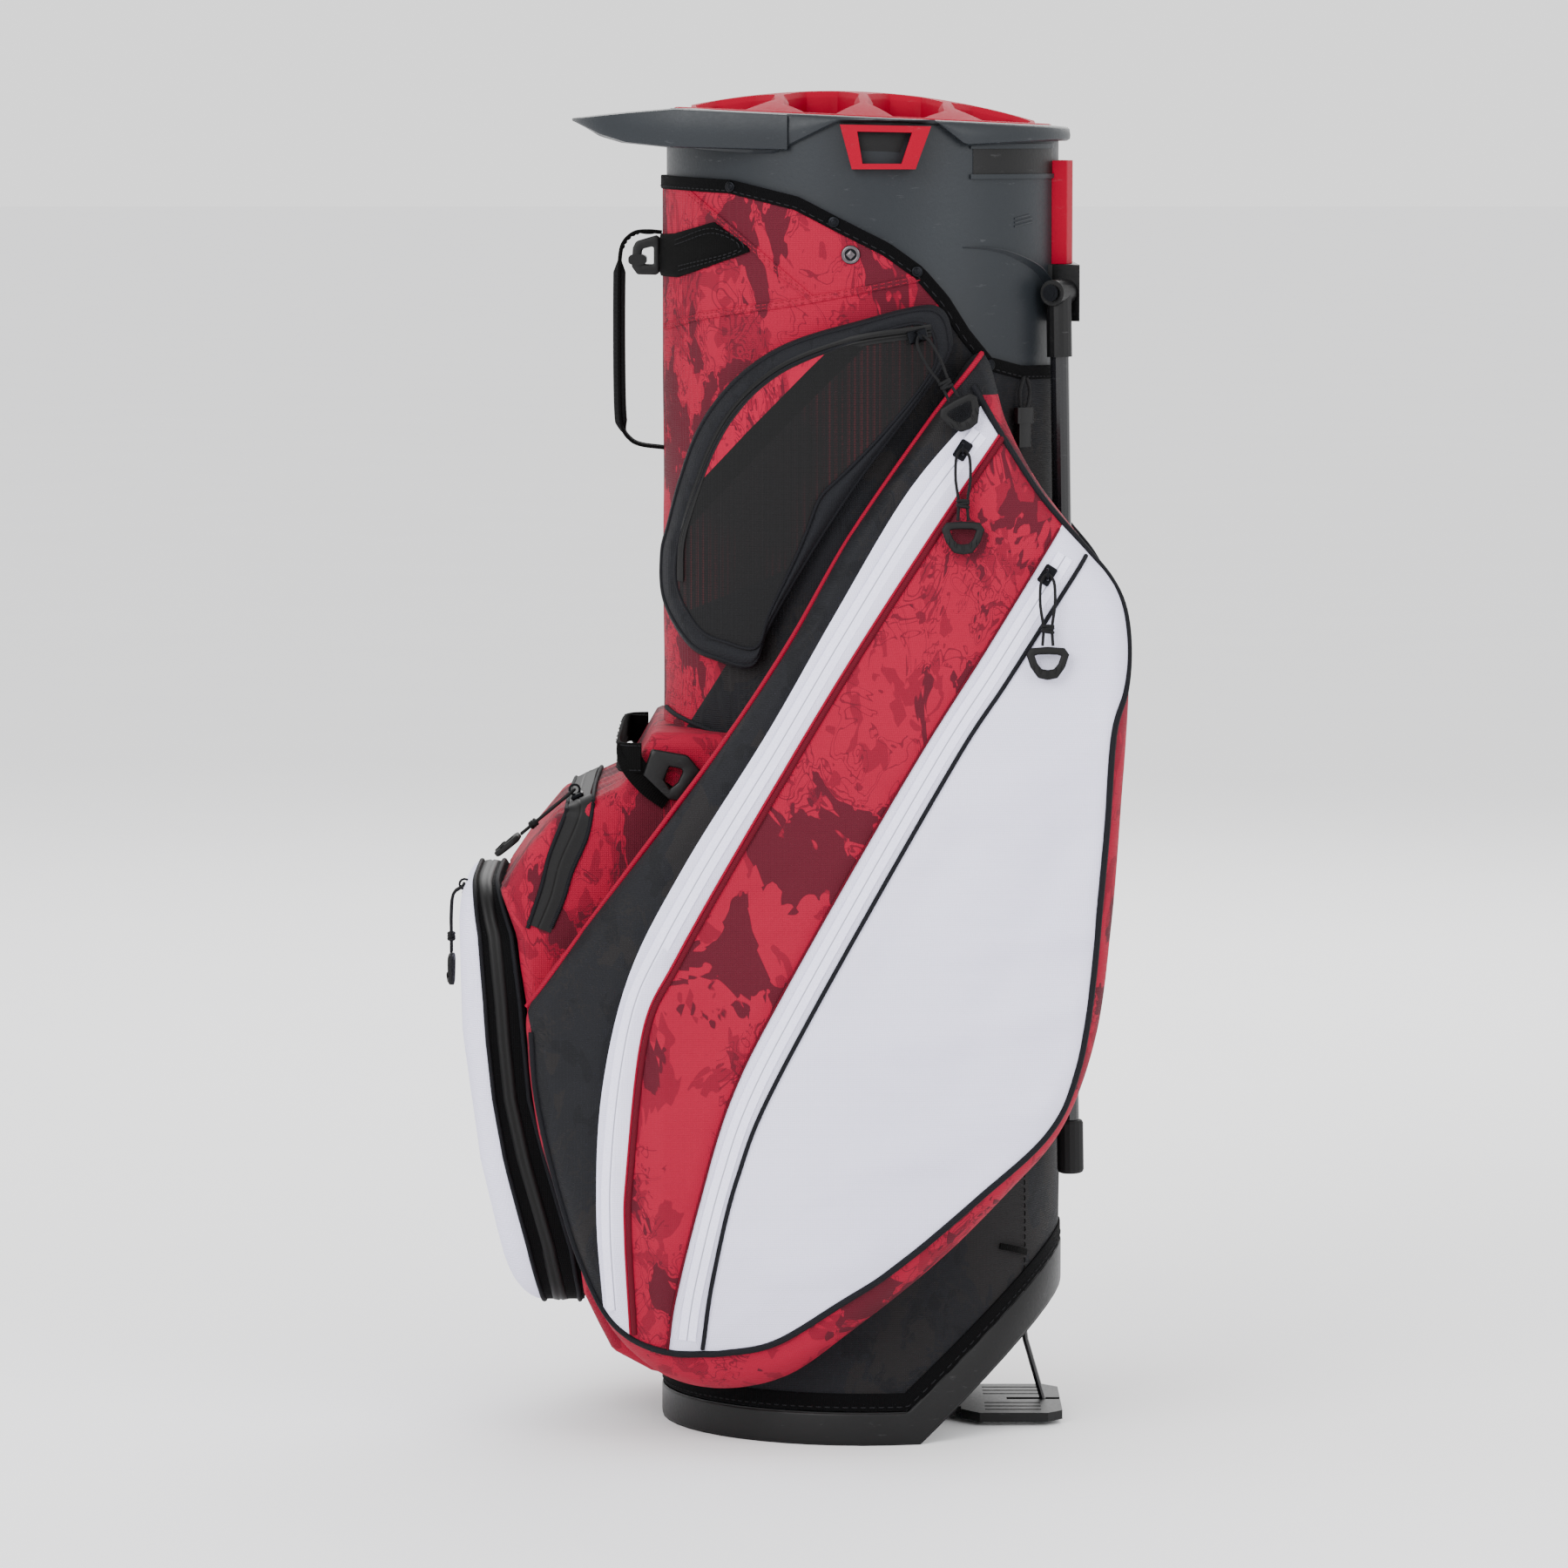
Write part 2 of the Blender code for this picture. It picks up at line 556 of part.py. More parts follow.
def build_dividers():
    """Full length dividers: one long wall, slotted from above, and three cross walls, slotted from below."""
    half_x = SLEEVE_X - CUFF_WALL
    half_y = SLEEVE_Y - CUFF_WALL
    middle = (DIVIDER_BOTTOM + DIVIDER_TOP) / 2
    wall = DIVIDER_WALL / 2
    long_wall = block("divider_long", (-half_x + 2 * GAP, -wall, DIVIDER_BOTTOM),
                      (DIVIDER_BACK, wall, DIVIDER_TOP))
    places = [(a + b) / 2 for a, b in zip(ROWS, ROWS[1:])]
    for name, x in zip(("front", "middle", "back"), places):
        combine(long_wall, block("long_slot", (x - wall - GAP, -0.01, middle), (x + wall + GAP, 0.01, 0.95)))
        reach = half_width(abs(x) + wall, half_x, half_y) - 4 * GAP
        cross = block("divider_cross", (x - wall, -reach, DIVIDER_BOTTOM), (x + wall, reach, DIVIDER_TOP))
        combine(cross,
                block("cross_slot", (x - 0.01, -wall - GAP, 0.05), (x + 0.01, wall + GAP, middle + GAP)))
        keep(cross, f"divider_cross_{name}", BLACK_FABRIC)
    keep(long_wall, "divider_long", BLACK_FABRIC)


def build_stays():
    """Two stiffening rods that stand on the base's floor, against the wall."""
    reach = half_width(STAY_X + STAY_RADIUS, SLEEVE_X - BASE_WALL, SLEEVE_Y - BASE_WALL) - STAY_RADIUS - 0.001
    for name, side in (("left", -1), ("right", 1)):
        stay = rod("stay", (STAY_X, side * reach, BASE_FLOOR + GAP), (STAY_X, side * reach, STAY_TOP),
                   STAY_RADIUS, 8)
        keep(stay, f"stay_{name}", BLACK_PLASTIC)


def build_grip_frames():
    """The red grips in the sides of the cuff, open in the middle."""
    for name, side in (("left", -1), ("right", 1)):
        near, far = sorted((side * GRIP_DEPTH[0], side * GRIP_DEPTH[1]))
        frame = side_prism("grip", GRIP_OUTER, near, far)
        combine(frame, side_prism("grip_hole", GRIP_INNER, -REACH, REACH))
        keep(frame, f"grip_frame_{name}", RED_PLASTIC)


def leg_side(vector, side):
    """A left hand vector, or its mirror image on the right."""
    return Vector((vector.x, vector.y if side < 0 else -vector.y, vector.z))


def hinge_axis(side):
    """Direction of a leg's hinge pin, pointing out of the housing."""
    return leg_side(Vector((-math.sin(LEG_SPLAY), -math.cos(LEG_SPLAY), 0.0)), side)


def build_housing():
    """The housing that holds both hinge pins and guides the push rod, and the cover above it."""
    axis = hinge_axis(-1)
    along = Vector((math.cos(LEG_SPLAY), -math.sin(LEG_SPLAY), 0.0))
    face = LEG_PIVOT - axis * (YOKE_HALF + 0.0008)
    outer = face + along * 0.010
    inner = face - along * 0.010
    half = [(outer.x, outer.y), (inner.x, inner.y), (0.118, inner.y), (0.118, -TONGUE_HALF),
            (HOUSING_INNER, -TONGUE_HALF)]
    plan = half + [(x, -y) for x, y in reversed(half)]
    housing = plan_prism("leg_housing", plan, HOUSING_BOTTOM, HOUSING_TOP)
    ring = oval("cuff_keepout", SLEEVE_X + GAP, SLEEVE_Y + GAP, 0.6, 0.9)
    combine(ring, block("tongue_room", (0.05, -TONGUE_HALF, 0.5), (0.2, TONGUE_HALF, 1.0)))
    combine(housing, ring)
    bore = rod("rod_bore", (ROD_X, 0, 0.7), (ROD_X, 0, 0.9), ROD_RADIUS + 0.0008, 12)
    combine(housing, bore)
    for side in (-1, 1):
        pivot = leg_side(LEG_PIVOT, side)
        back = pivot - hinge_axis(side) * 0.0245
        combine(housing, rod("pin_bore", pivot, back - hinge_axis(side) * GAP, PIN_RADIUS + GAP, 16))
    keep(housing, "leg_housing", BLACK_PLASTIC)

    cover = oval("housing_cover", SLEEVE_X + COVER_THICK + 0.002, SLEEVE_Y + COVER_THICK + 0.002,
                 HOUSING_TOP + GAP, COVER_TOP)
    combine(cover, oval("cover_bore", SLEEVE_X + GAP, SLEEVE_Y + GAP, 0.6, 0.9))
    combine(cover, block("cover_limit", (0.05, -COVER_HALF, 0.7), (0.3, COVER_HALF, 0.9)), "INTERSECT")
    keep(cover, "housing_cover", RED_PLASTIC)


def build_leg(name, side):
    """One leg: its hinge pin, the yoke that turns on it, the tube and the rubber foot."""
    pivot = leg_side(LEG_PIVOT, side)
    foot = leg_side(LEG_FOOT, side)
    axis = hinge_axis(side)
    along = (foot - pivot).normalized()
    length = (foot - pivot).length
    pin = rod("hinge_pin", pivot - axis * 0.0245, pivot + axis * (YOKE_HALF + 0.003), PIN_RADIUS, 16)
    head = rod("pin_head", pivot + axis * (YOKE_HALF + 0.0008), pivot + axis * (YOKE_HALF + 0.0028),
               0.0055, 16)
    combine(pin, head, "UNION")
    keep(pin, f"hinge_pin_{name}", STEEL)

    yoke = rod("leg_yoke", pivot - axis * YOKE_HALF, pivot + axis * YOKE_HALF, YOKE_RADIUS, 20)
    combine(yoke, rod("socket", pivot + along * 0.002, pivot + along * SOCKET_LENGTH, SOCKET_RADIUS, 16),
            "UNION")
    combine(yoke, rod("yoke_bore", pivot - axis * 0.02, pivot + axis * 0.02, PIN_RADIUS + GAP, 16))
    combine(yoke, rod("tube_seat", pivot + along * SOCKET_FLOOR, pivot + along * (SOCKET_LENGTH + 0.01),
                      LEG_RADIUS + GAP, 16))
    put_origin(yoke, pivot)
    keep(yoke, f"leg_yoke_{name}", BLACK_PLASTIC)

    leg = rod("leg_tube", pivot + along * (SOCKET_FLOOR + GAP), foot - along * 0.010, LEG_RADIUS, 16)
    put_origin(leg, pivot)
    keep(leg, f"leg_tube_{name}", BLACK_TUBE)

    rubber = rod("leg_foot", foot - along * FOOT_LENGTH, foot, FOOT_RADIUS, 16)
    round_edges(rubber, 0.0025)
    combine(rubber,
            rod("foot_seat", pivot + along * (length - FOOT_LENGTH - 0.01), foot - along * (0.010 - GAP),
                        LEG_RADIUS + GAP, 16))
    put_origin(rubber, pivot)
    keep(rubber, f"leg_foot_{name}", RUBBER)


def build_foot_plate():
    """The plate under the heel that the bag leans on, its hinge pin and the push rod that it lifts."""
    x, z = FOOT_HINGE.x, FOOT_HINGE.z
    top = z + 0.0005
    start = x + 0.0085
    plan = [(start, -PLATE_HALF + 0.014), (start + 0.012, -PLATE_HALF), (PLATE_END - 0.010, -PLATE_HALF),
            (PLATE_END, -PLATE_HALF + 0.010), (PLATE_END, -0.0035), (FORK_START, -0.0035)]
    plan = plan + [(px, -py) for px, py in reversed(plan)]
    plate = plan_prism("foot_plate", plan, top - PLATE_THICK, top)
    tongue = LUG_INSIDE - 0.0008
    combine(plate, block("tongue", (x, -tongue, z - 0.0035), (start + 0.004, tongue, z + 0.0002)), "UNION")
    combine(plate, rod("barrel", (x, -tongue, z), (x, tongue, z), FOOT_BARREL, 16), "UNION")
    combine(plate, rod("barrel_bore", (x, -0.05, z), (x, 0.05, z), FOOT_PIN_RADIUS + GAP, 16))
    for y in (-0.040, -0.028, -0.016, 0.016, 0.028, 0.040):
        combine(plate, block("grip_slot", (start + 0.016, y - PLATE_SLOT / 2, -0.02),
                             (PLATE_END - 0.014, y + PLATE_SLOT / 2, 0.03)))
    put_origin(plate, FOOT_HINGE)
    keep(plate, "foot_plate", BLACK_PLASTIC)

    reach = LUG_INSIDE + LUG_WIDTH + 0.001
    pin = rod("foot_pin", (x, -reach, z), (x, reach, z), FOOT_PIN_RADIUS, 16)
    keep(pin, "foot_hinge_pin", STEEL)

    bend = Vector((ROD_X, 0.0, ROD_BEND))
    low = Vector((ROD_FOOT[0], 0.0, ROD_FOOT[1]))
    ease = (bend - low) * 0.12
    route = [low, bend - ease, bend + Vector((0.0, 0.0, ease.length)), Vector((ROD_X, 0.0, ROD_TOP))]
    push = tube("push_rod", route, ROD_RADIUS, 2)
    put_origin(push, low)
    keep(push, "push_rod", STEEL)


def side_depth(x, z):
    """Half-width over a side pocket's outer face: thinner at the top, the foot and the front."""
    depth = SIDE_DEPTH
    depth -= SIDE_TAPER * max(0.0, z - SIDE_TAPER_FROM)
    depth -= 0.25 * max(0.0, 0.14 - z)
    depth -= 0.42 * max(0.0, -0.13 - x)
    return depth


def body_keepout(extra=GAP):
    """The space of the body's tube and its base."""
    return oval("body_keepout", BODY_HALF_X + RIM_PROUD + extra, BODY_HALF_Y + RIM_PROUD + extra, -0.05, 1.0)


def build_side_pocket(name, side):
    """A full length side pocket: rings of its outline, drawn in towards the middle of the crowned face."""
    outline = smooth([Vector(p) for p in SIDE_OUTLINE], 2, closed=True)
    centre = Vector(SIDE_CENTRE)

    def ring(share, depth_or_drop, flat):
        made = []
        for p in outline:
            q = centre + (p - centre) * share
            reach = depth_or_drop if flat else side_depth(q.x, q.y) - depth_or_drop
            made.append(Vector((q.x, side * reach, q.y)))
        return made

    rings = [ring(0.45, SIDE_INNER, True), ring(0.93, SIDE_INNER, True), ring(0.985, 0.100, True),
             ring(1.0, 0.020, False), ring(0.988, 0.007, False), ring(0.965, 0.0015, False),
             ring(0.93, 0.0, False), ring(0.6, 0.0, False), ring(0.25, 0.0, False)]
    pocket = loft(f"side_pocket_{name}", rings, centre_caps=True)
    combine(pocket, body_keepout())
    near, far = sorted((side * (FRONT_HALF + 2 * GAP), -side * 0.1))
    combine(pocket, block("front_room", (-0.3, near, -0.05), (-0.045, far, 0.8)))
    keep(pocket, f"side_pocket_{name}", WHITE_FABRIC)


def build_mesh_pocket(name, side):
    """A shallow zipped pocket that wraps the upper side of the tube."""
    near, far = sorted((side * 0.016, side * 0.2))
    pocket = side_prism(f"mesh_pocket_{name}", smooth([Vector(p) for p in MESH_OUTLINE], 2, closed=True),
                        near, far)
    combine(pocket, oval("mesh_limit", BODY_HALF_X + MESH_DEPTH, BODY_HALF_Y + MESH_DEPTH, 0.4, 0.9),
            "INTERSECT")
    combine(pocket, oval("mesh_keepout", BODY_HALF_X + GAP, BODY_HALF_Y + GAP, 0.3, 1.0))
    keep(pocket, f"mesh_pocket_{name}", BLACK_FABRIC)


def back_line(z):
    """Where the ball pocket's back lies at a height, along the front pocket's face."""
    for (x0, z0), (x1, z1) in zip(FRONT_BACK, FRONT_BACK[1:]):
        if z >= z1:
            return x0 + (x1 - x0) * (z - z0) / (z1 - z0)
    return FRONT_BACK[-1][0]


def build_front_pockets():
    """The accessory pocket, which carries the front's lower half, and the ball pocket on it."""
    outline = FRONT_TOP + FRONT_BACK + FRONT_BOTTOM
    accessory = side_prism("accessory_pocket", outline, -FRONT_HALF, FRONT_HALF)
    combine(accessory, body_keepout())
    keep(accessory, "accessory_pocket", RED_FABRIC)

    rings = []
    for y, share in BALL_STATIONS:
        back = [Vector((x - 2 * GAP, y, z)) for x, z in FRONT_BACK[:-1]]
        front = []
        for x, z in reversed(BALL_FRONT):
            rear = back_line(z) - 2 * GAP
            front.append(Vector((rear + (min(x, rear - 0.001) - rear) * share, y, z)))
        rings.append(back + front)
    ball = loft("ball_pocket", rings)
    keep(ball, "ball_pocket", WHITE_FABRIC)


def build_lift_handle():
    """The webbing round the front, its clip and the padded lift handle."""
    band = side_prism("handle_webbing", WEBBING, -REACH, REACH)
    combine(band, oval("webbing_limit", BODY_HALF_X + WEBBING_THICK + GAP, BODY_HALF_Y + WEBBING_THICK + GAP,
                       0.7, 0.9), "INTERSECT")
    combine(band, oval("webbing_keepout", BODY_HALF_X + GAP, BODY_HALF_Y + GAP, 0.6, 1.0))
    keep(band, "handle_webbing", BLACK_FABRIC)

    inside = -BODY_HALF_X - WEBBING_THICK - 2 * GAP
    clip = block("handle_clip", (CLIP_FRONT, -CLIP_HALF, CLIP_BOTTOM), (inside, CLIP_HALF, CLIP_TOP))
    round_edges(clip, 0.003)
    combine(clip, block("clip_hole", (CLIP_FRONT + 0.005, -0.1, CLIP_BOTTOM + 0.006),
                        (inside - 0.005, 0.1, CLIP_TOP - 0.006)))
    keep(clip, "handle_clip", BLACK_PLASTIC)

    route = [(inside - 0.001, 0.7925), (-0.150, 0.7920), (-0.1585, 0.7860), (HANDLE_X, 0.7760),
             (HANDLE_X, 0.7660),
             (HANDLE_X, 0.7200), (HANDLE_X, 0.6720), (HANDLE_X + 0.001, 0.6630), (-0.1555, 0.6560),
             (-0.147, 0.6520), (-BODY_HALF_X - 0.0035, 0.6500)]
    thick = HANDLE_RADIUS / HANDLE_STRAP
    sizes = [1.0, 1.0, 1.1, 0.85 * thick, thick, thick, thick, 0.8 * thick, 1.1, 1.0, 1.0]
    handle = tube("lift_handle", [Vector((x, 0.0, z)) for x, z in route], HANDLE_STRAP, 3, sizes)
    keep(handle, "lift_handle", BLACK_FABRIC)


def build_grab_handle():
    """The lower grab strap across the front and the square rings at its ends."""
    outer = [(-0.1475, -0.1165), (-0.1545, -0.1135), (-0.1595, -0.1030), (GRAB_X - 0.0004, -0.080),
             (GRAB_X, -0.040), (GRAB_X, 0.0)]
    shape = smooth([Vector(p) for p in outer + [(x, -y) for x, y in reversed(outer[:-1])]], 2)
    inner = [Vector((p.x + GRAB_THICK * (0.35 + 0.65 * (1 - abs(p.y) / 0.1165) ** 0.3),
                     p.y * 0.972)) for p in shape]
    strap = plan_prism("grab_strap", shape + inner[::-1], GRAB_LOW, GRAB_HIGH)
    keep(strap, "grab_strap", BLACK_FABRIC)
    x0, x1, z0, z1 = RING_OUTER
    for name, side in (("left", -1), ("right", 1)):
        near, far = sorted((side * RING_DEPTH[0], side * RING_DEPTH[1]))
        ring = block("grab_ring", (x0, near, z0), (x1, far, z1))
        round_edges(ring, 0.0015, 1)
        combine(ring,
                block("ring_hole", (x0 + RING_BAR, -0.2, z0 + RING_BAR), (x1 - RING_BAR, 0.2, z1 - RING_BAR)))
        keep(ring, f"grab_ring_{name}", BLACK_PLASTIC)


def build_back():
    """The hip pad, the folded shoulder straps on it, and the hub and anchor that hold them."""
    pad = block("hip_pad", (HIP_FRONT, -HIP_HALF, HIP_LOW), (HIP_BACK, HIP_HALF, HIP_HIGH))
    round_edges(pad, 0.007, 3)
    combine(pad, body_keepout())
    keep(pad, "hip_pad", BLACK_FABRIC)
    back = HIP_BACK + 2 * GAP
    for name, side in (("left", -1), ("right", 1)):
        near, far = sorted((side * 0.0012, side * (0.0012 + STRAP_WIDTH)))
        strap = block("shoulder_strap", (back, near, STRAP_LOW), (back + STRAP_THICK, far, STRAP_HIGH))
        round_edges(strap, 0.0045, 3)
        keep(strap, f"shoulder_strap_{name}", BLACK_FABRIC)
    pieces = (("strap_hub", HIP_HIGH + 2 * GAP, HUB_HIGH, back + STRAP_THICK - 0.003),
              ("strap_anchor", ANCHOR_LOW, STRAP_LOW - 2 * GAP, HIP_BACK + 0.006))
    for name, low, high, reach in pieces:
        part = block(name, (HIP_FRONT, -0.026, low), (reach, 0.026, high))
        round_edges(part, 0.003)
        combine(part, body_keepout())
        keep(part, name, BLACK_PLASTIC)


def frame_of(place, zip_way, normal):
    """A matrix with X along the zip, Z out of the surface and its origin at a place."""
    out = Vector(normal).normalized()
    along = Vector(zip_way).normalized()
    across = out.cross(along).normalized()
    turn = Matrix((across.cross(out), across, out)).transposed().to_4x4()
    return Matrix.Translation(place) @ turn


def build_slider(name, place, zip_way, down, normal):
    """A zip slider: a small rounded body with a wire arch that the pull cord goes through."""
    frame = frame_of(place, zip_way, normal)
    half = (SLIDER_LENGTH / 2, SLIDER_WIDTH / 2)
    slider = block("slider", (-half[0], -half[1], SLIDER_FLOAT),
                   (half[0], half[1], SLIDER_FLOAT + SLIDER_THICK))
    slider.data.transform(frame)
    round_edges(slider, 0.0009, 1)
    out = Vector(normal).normalized()
    bpy.ops.mesh.primitive_torus_add(major_segments=12, minor_segments=6, major_radius=ARCH_RADIUS,
                                     minor_radius=ARCH_WIRE)
    arch = bpy.context.object
    arch.name = f"{name}_arch"
    arch.data.transform(frame_of(arch_middle(place, normal), down, Vector(down).cross(out)))
    combine(slider, arch, "UNION")
    put_origin(slider, Vector(place))
    keep(slider, name, BLACK_PLASTIC)


def build_pull(name, apex, down, normal, stand_off=0.0):
    """The cord loop that hangs from a slider's arch, and the moulded grip on its two ends."""
    out = Vector(normal).normalized()
    fall = Vector(down).normalized()
    across = fall.cross(out)
    half_loop = [(0.0, 0.0), (0.0022, 0.62 * LOOP_HALF), (0.0070, LOOP_HALF), (0.0200, 1.05 * LOOP_HALF),
                 (0.0340, 0.62 * LOOP_HALF), (PULL_STRAND, 0.75 * LOOP_HALF)]

    def place(u, s):
        share = min(1.0, u / LEDGE_REACH)
        return apex + fall * u + across * s + out * stand_off * share * share * (3 - 2 * share)

    strand = [place(u, s) for u, s in half_loop]
    other = [place(u, -s) for u, s in half_loop[1:]]
    loop = smooth(strand[::-1] + other, 3)
    cord = tube(f"cord_{name}", loop, CORD_RADIUS, 2)
    put_origin(cord, apex)
    keep(cord, f"cord_{name}", CORD)

    top = PULL_STRAND + GAP
    bow = [(-GRIP_HALF, 0.006), (-GRIP_HALF + 0.002, 0.002), (-0.006, 0.0), (0.006, 0.0),
           (GRIP_HALF - 0.002, 0.002),
           (GRIP_HALF, 0.006), (GRIP_HALF - 0.003, 0.014), (0.006, GRIP_LENGTH), (-0.006, GRIP_LENGTH),
           (-GRIP_HALF + 0.003, 0.014)]
    grip = plan_prism("grip", [(s, u) for s, u in bow], -GRIP_THICK / 2, GRIP_THICK / 2)
    round_edges(grip, 0.0008, 1)
    window = plan_prism("grip_window",
                        [(-0.008, 0.0065), (0.008, 0.0065), (0.0045, 0.0145), (-0.0045, 0.0145)],
                        -0.01, 0.01)
    turn = Matrix((across, fall, across.cross(fall))).transposed().to_4x4()
    place_grip = Matrix.Translation(place(top, 0.0)) @ turn
    grip.data.transform(place_grip)
    window.data.transform(place_grip)
    combine(grip, window)
    put_origin(grip, apex)
    keep(grip, f"grip_{name}", RUBBER)


def arch_middle(place, normal):
    """The middle of a slider's arch, which the cord passes through."""
    return Vector(place) + Vector(normal).normalized() * ARCH_HEIGHT


def on_side(x, z, side):
    """A point on a side pocket's face."""
    return Vector((x, side * side_depth(x, z), z))


def build_zips():
    """Sliders on every zip, with a cord and a grip on those of the left side and the front."""
    tilt = Vector((0.0, -1.0, SIDE_TAPER))
    hang = Vector((0.0, -SIDE_TAPER, -1.0))
    fall_zip = Vector((-0.54, SIDE_TAPER * -0.84, -0.84))
    places = {"upper": (0.0632, 0.6544), "lower": (0.1175, 0.5746)}
    for zip_name, (x, z) in places.items():
        build_slider(f"slider_{zip_name}_left", on_side(x, z, -1), fall_zip, hang, tilt)
        build_pull(f"{zip_name}_left", arch_middle(on_side(x, z, -1), tilt), hang, tilt)
        mirror = Vector((1.0, -1.0, 1.0))
        build_slider(f"slider_{zip_name}_right", on_side(x, z, 1), fall_zip * mirror, hang * mirror,
                     tilt * mirror)
    mesh_x, mesh_z = MESH_ZIP
    half_x = BODY_HALF_X + MESH_DEPTH
    half_y = BODY_HALF_Y + MESH_DEPTH
    reach = half_width(mesh_x, half_x, half_y)
    for name, side in (("left", -1), ("right", 1)):
        out = Vector((mesh_x / half_x ** 2, side * reach / half_y ** 2, 0.0)).normalized()
        spot = Vector((mesh_x, side * reach, mesh_z)) + out * MESH_LIFT
        zip_way = Vector((out.y * side, -out.x * side, 0.24)) * -1.0
        lean = Vector((0.483, -0.483 * out.x / out.y, -0.876)) if side < 0 else Vector((0.0, 0.0, -1.0))
        build_slider(f"slider_mesh_{name}", spot, zip_way, lean, out)
        if side < 0:
            build_pull("mesh_left", arch_middle(spot, out), (0.483, 0.0, -0.876), (0.0, -1.0, 0.0),
                       MESH_STAND_OFF)
    zip_spot = Vector((-0.187, -0.070, 0.4222))
    zip_normal = Vector((-0.415, 0.0, 0.910))
    lean = Vector((-0.77, 0.0, -0.64))
    build_slider("slider_accessory", zip_spot, (0.0, 1.0, 0.0), lean, zip_normal)
    build_pull("accessory", arch_middle(zip_spot, zip_normal), lean, (-0.64, 0.0, 0.77))
    zip_spot = Vector((-0.2600, -0.045, 0.3572))
    zip_normal = Vector((-0.533, 0.0, 0.846))
    build_slider("slider_ball", zip_spot, (0.0, 1.0, 0.0), (-0.83, 0.0, -0.55), zip_normal)
    build_pull("ball", arch_middle(zip_spot, zip_normal), (0.0, 0.0, -1.0), (-1.0, 0.0, 0.0), BALL_STAND_OFF)


build_base()
build_shell()
build_cuff()
build_divider_top()
build_dividers()
build_stays()
build_grip_frames()
build_housing()
build_leg("left", -1)
build_leg("right", 1)
build_foot_plate()
build_side_pocket("left", -1)
build_side_pocket("right", 1)
build_mesh_pocket("left", -1)
build_mesh_pocket("right", 1)
build_front_pockets()
build_lift_handle()
build_grab_handle()
build_back()
build_zips()
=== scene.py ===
import math

import bmesh
import bpy
import numpy as np
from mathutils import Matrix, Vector


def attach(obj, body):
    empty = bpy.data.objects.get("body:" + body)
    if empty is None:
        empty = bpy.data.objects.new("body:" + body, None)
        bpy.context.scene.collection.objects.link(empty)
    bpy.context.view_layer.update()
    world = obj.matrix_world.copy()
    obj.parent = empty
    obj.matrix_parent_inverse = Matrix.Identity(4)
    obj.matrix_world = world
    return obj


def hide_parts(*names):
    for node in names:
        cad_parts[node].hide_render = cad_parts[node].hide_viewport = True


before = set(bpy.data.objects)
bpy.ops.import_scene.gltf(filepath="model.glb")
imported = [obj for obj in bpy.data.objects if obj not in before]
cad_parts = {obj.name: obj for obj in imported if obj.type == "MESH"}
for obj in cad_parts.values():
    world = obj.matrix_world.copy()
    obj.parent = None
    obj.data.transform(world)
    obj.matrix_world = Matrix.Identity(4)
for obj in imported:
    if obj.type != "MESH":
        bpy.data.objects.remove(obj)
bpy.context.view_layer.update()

MM = 0.001
LEFT, RIGHT = -1, 1
SIDES = (("left", LEFT), ("right", RIGHT))

# The tube of the body, an oval
HALF_X = 0.1325
HALF_Y = 0.118
WALL = 0.0025
TOP_EDGE = [
    (-0.16, 0.831), (-0.087, 0.827), (-0.044, 0.8165), (-0.018, 0.803), (0.014, 0.787), (0.035, 0.772),
    (0.051, 0.754), (0.065, 0.732), (0.081, 0.7125), (0.103, 0.706), (0.16, 0.704)]
RIM_HEIGHT = 0.022
HEEL_START = 0.0295
HEEL_RISE = 0.944
HEEL_FOOT = 0.038

# Side pockets, as (x, z)
SIDE_OUTLINE = [
    (0.0755, 0.7165), (0.044, 0.676), (-0.008, 0.6), (-0.0475, 0.53), (-0.0875, 0.47), (-0.1305, 0.4106),
    (-0.1764, 0.35), (-0.216, 0.296), (-0.2195, 0.262), (-0.213, 0.21), (-0.2, 0.165), (-0.186, 0.122),
    (-0.163, 0.076), (-0.13, 0.049), (-0.092, 0.04), (-0.05, 0.049), (-0.01, 0.078), (0.04, 0.12),
    (0.09, 0.17), (0.128, 0.215), (0.15, 0.275), (0.16, 0.35), (0.166, 0.43), (0.171, 0.51), (0.167, 0.556),
    (0.142, 0.594), (0.112, 0.634), (0.092, 0.672)]
SIDE_CENTRE = (-0.02, 0.36)
SIDE_DEPTH = 0.17
SIDE_INNER = 0.078
SIDE_EDGE = 0.019
# seams that cross a side pocket from its top to its front foot
DARK_SEAM = [
    (0.076, 0.716), (0.044, 0.675), (-0.008, 0.6), (-0.048, 0.531), (-0.087, 0.472), (-0.13, 0.414),
    (-0.176, 0.351), (-0.22, 0.29)]
FIRST_NEAR = [
    (0.075, 0.683), (0.028, 0.628), (-0.019, 0.55), (-0.061, 0.477), (-0.116, 0.389), (-0.152, 0.317),
    (-0.17, 0.24), (-0.174, 0.164), (-0.17, 0.096)]
FIRST_FAR = [
    (0.087, 0.666), (0.04, 0.597), (-0.017, 0.509), (-0.074, 0.414), (-0.122, 0.329), (-0.144, 0.28),
    (-0.155, 0.184), (-0.156, 0.146), (-0.153, 0.079)]
SECOND_NEAR = [
    (0.126, 0.604), (0.079, 0.528), (0.026, 0.444), (-0.052, 0.306), (-0.086, 0.237), (-0.107, 0.167),
    (-0.122, 0.105), (-0.127, 0.07)]
SECOND_FAR = [
    (0.143, 0.587), (0.093, 0.509), (0.051, 0.444), (-0.052, 0.258), (-0.082, 0.186), (-0.098, 0.119),
    (-0.105, 0.07)]
SIDE_SEAMS = (DARK_SEAM, FIRST_NEAR, FIRST_FAR, SECOND_NEAR, SECOND_FAR)
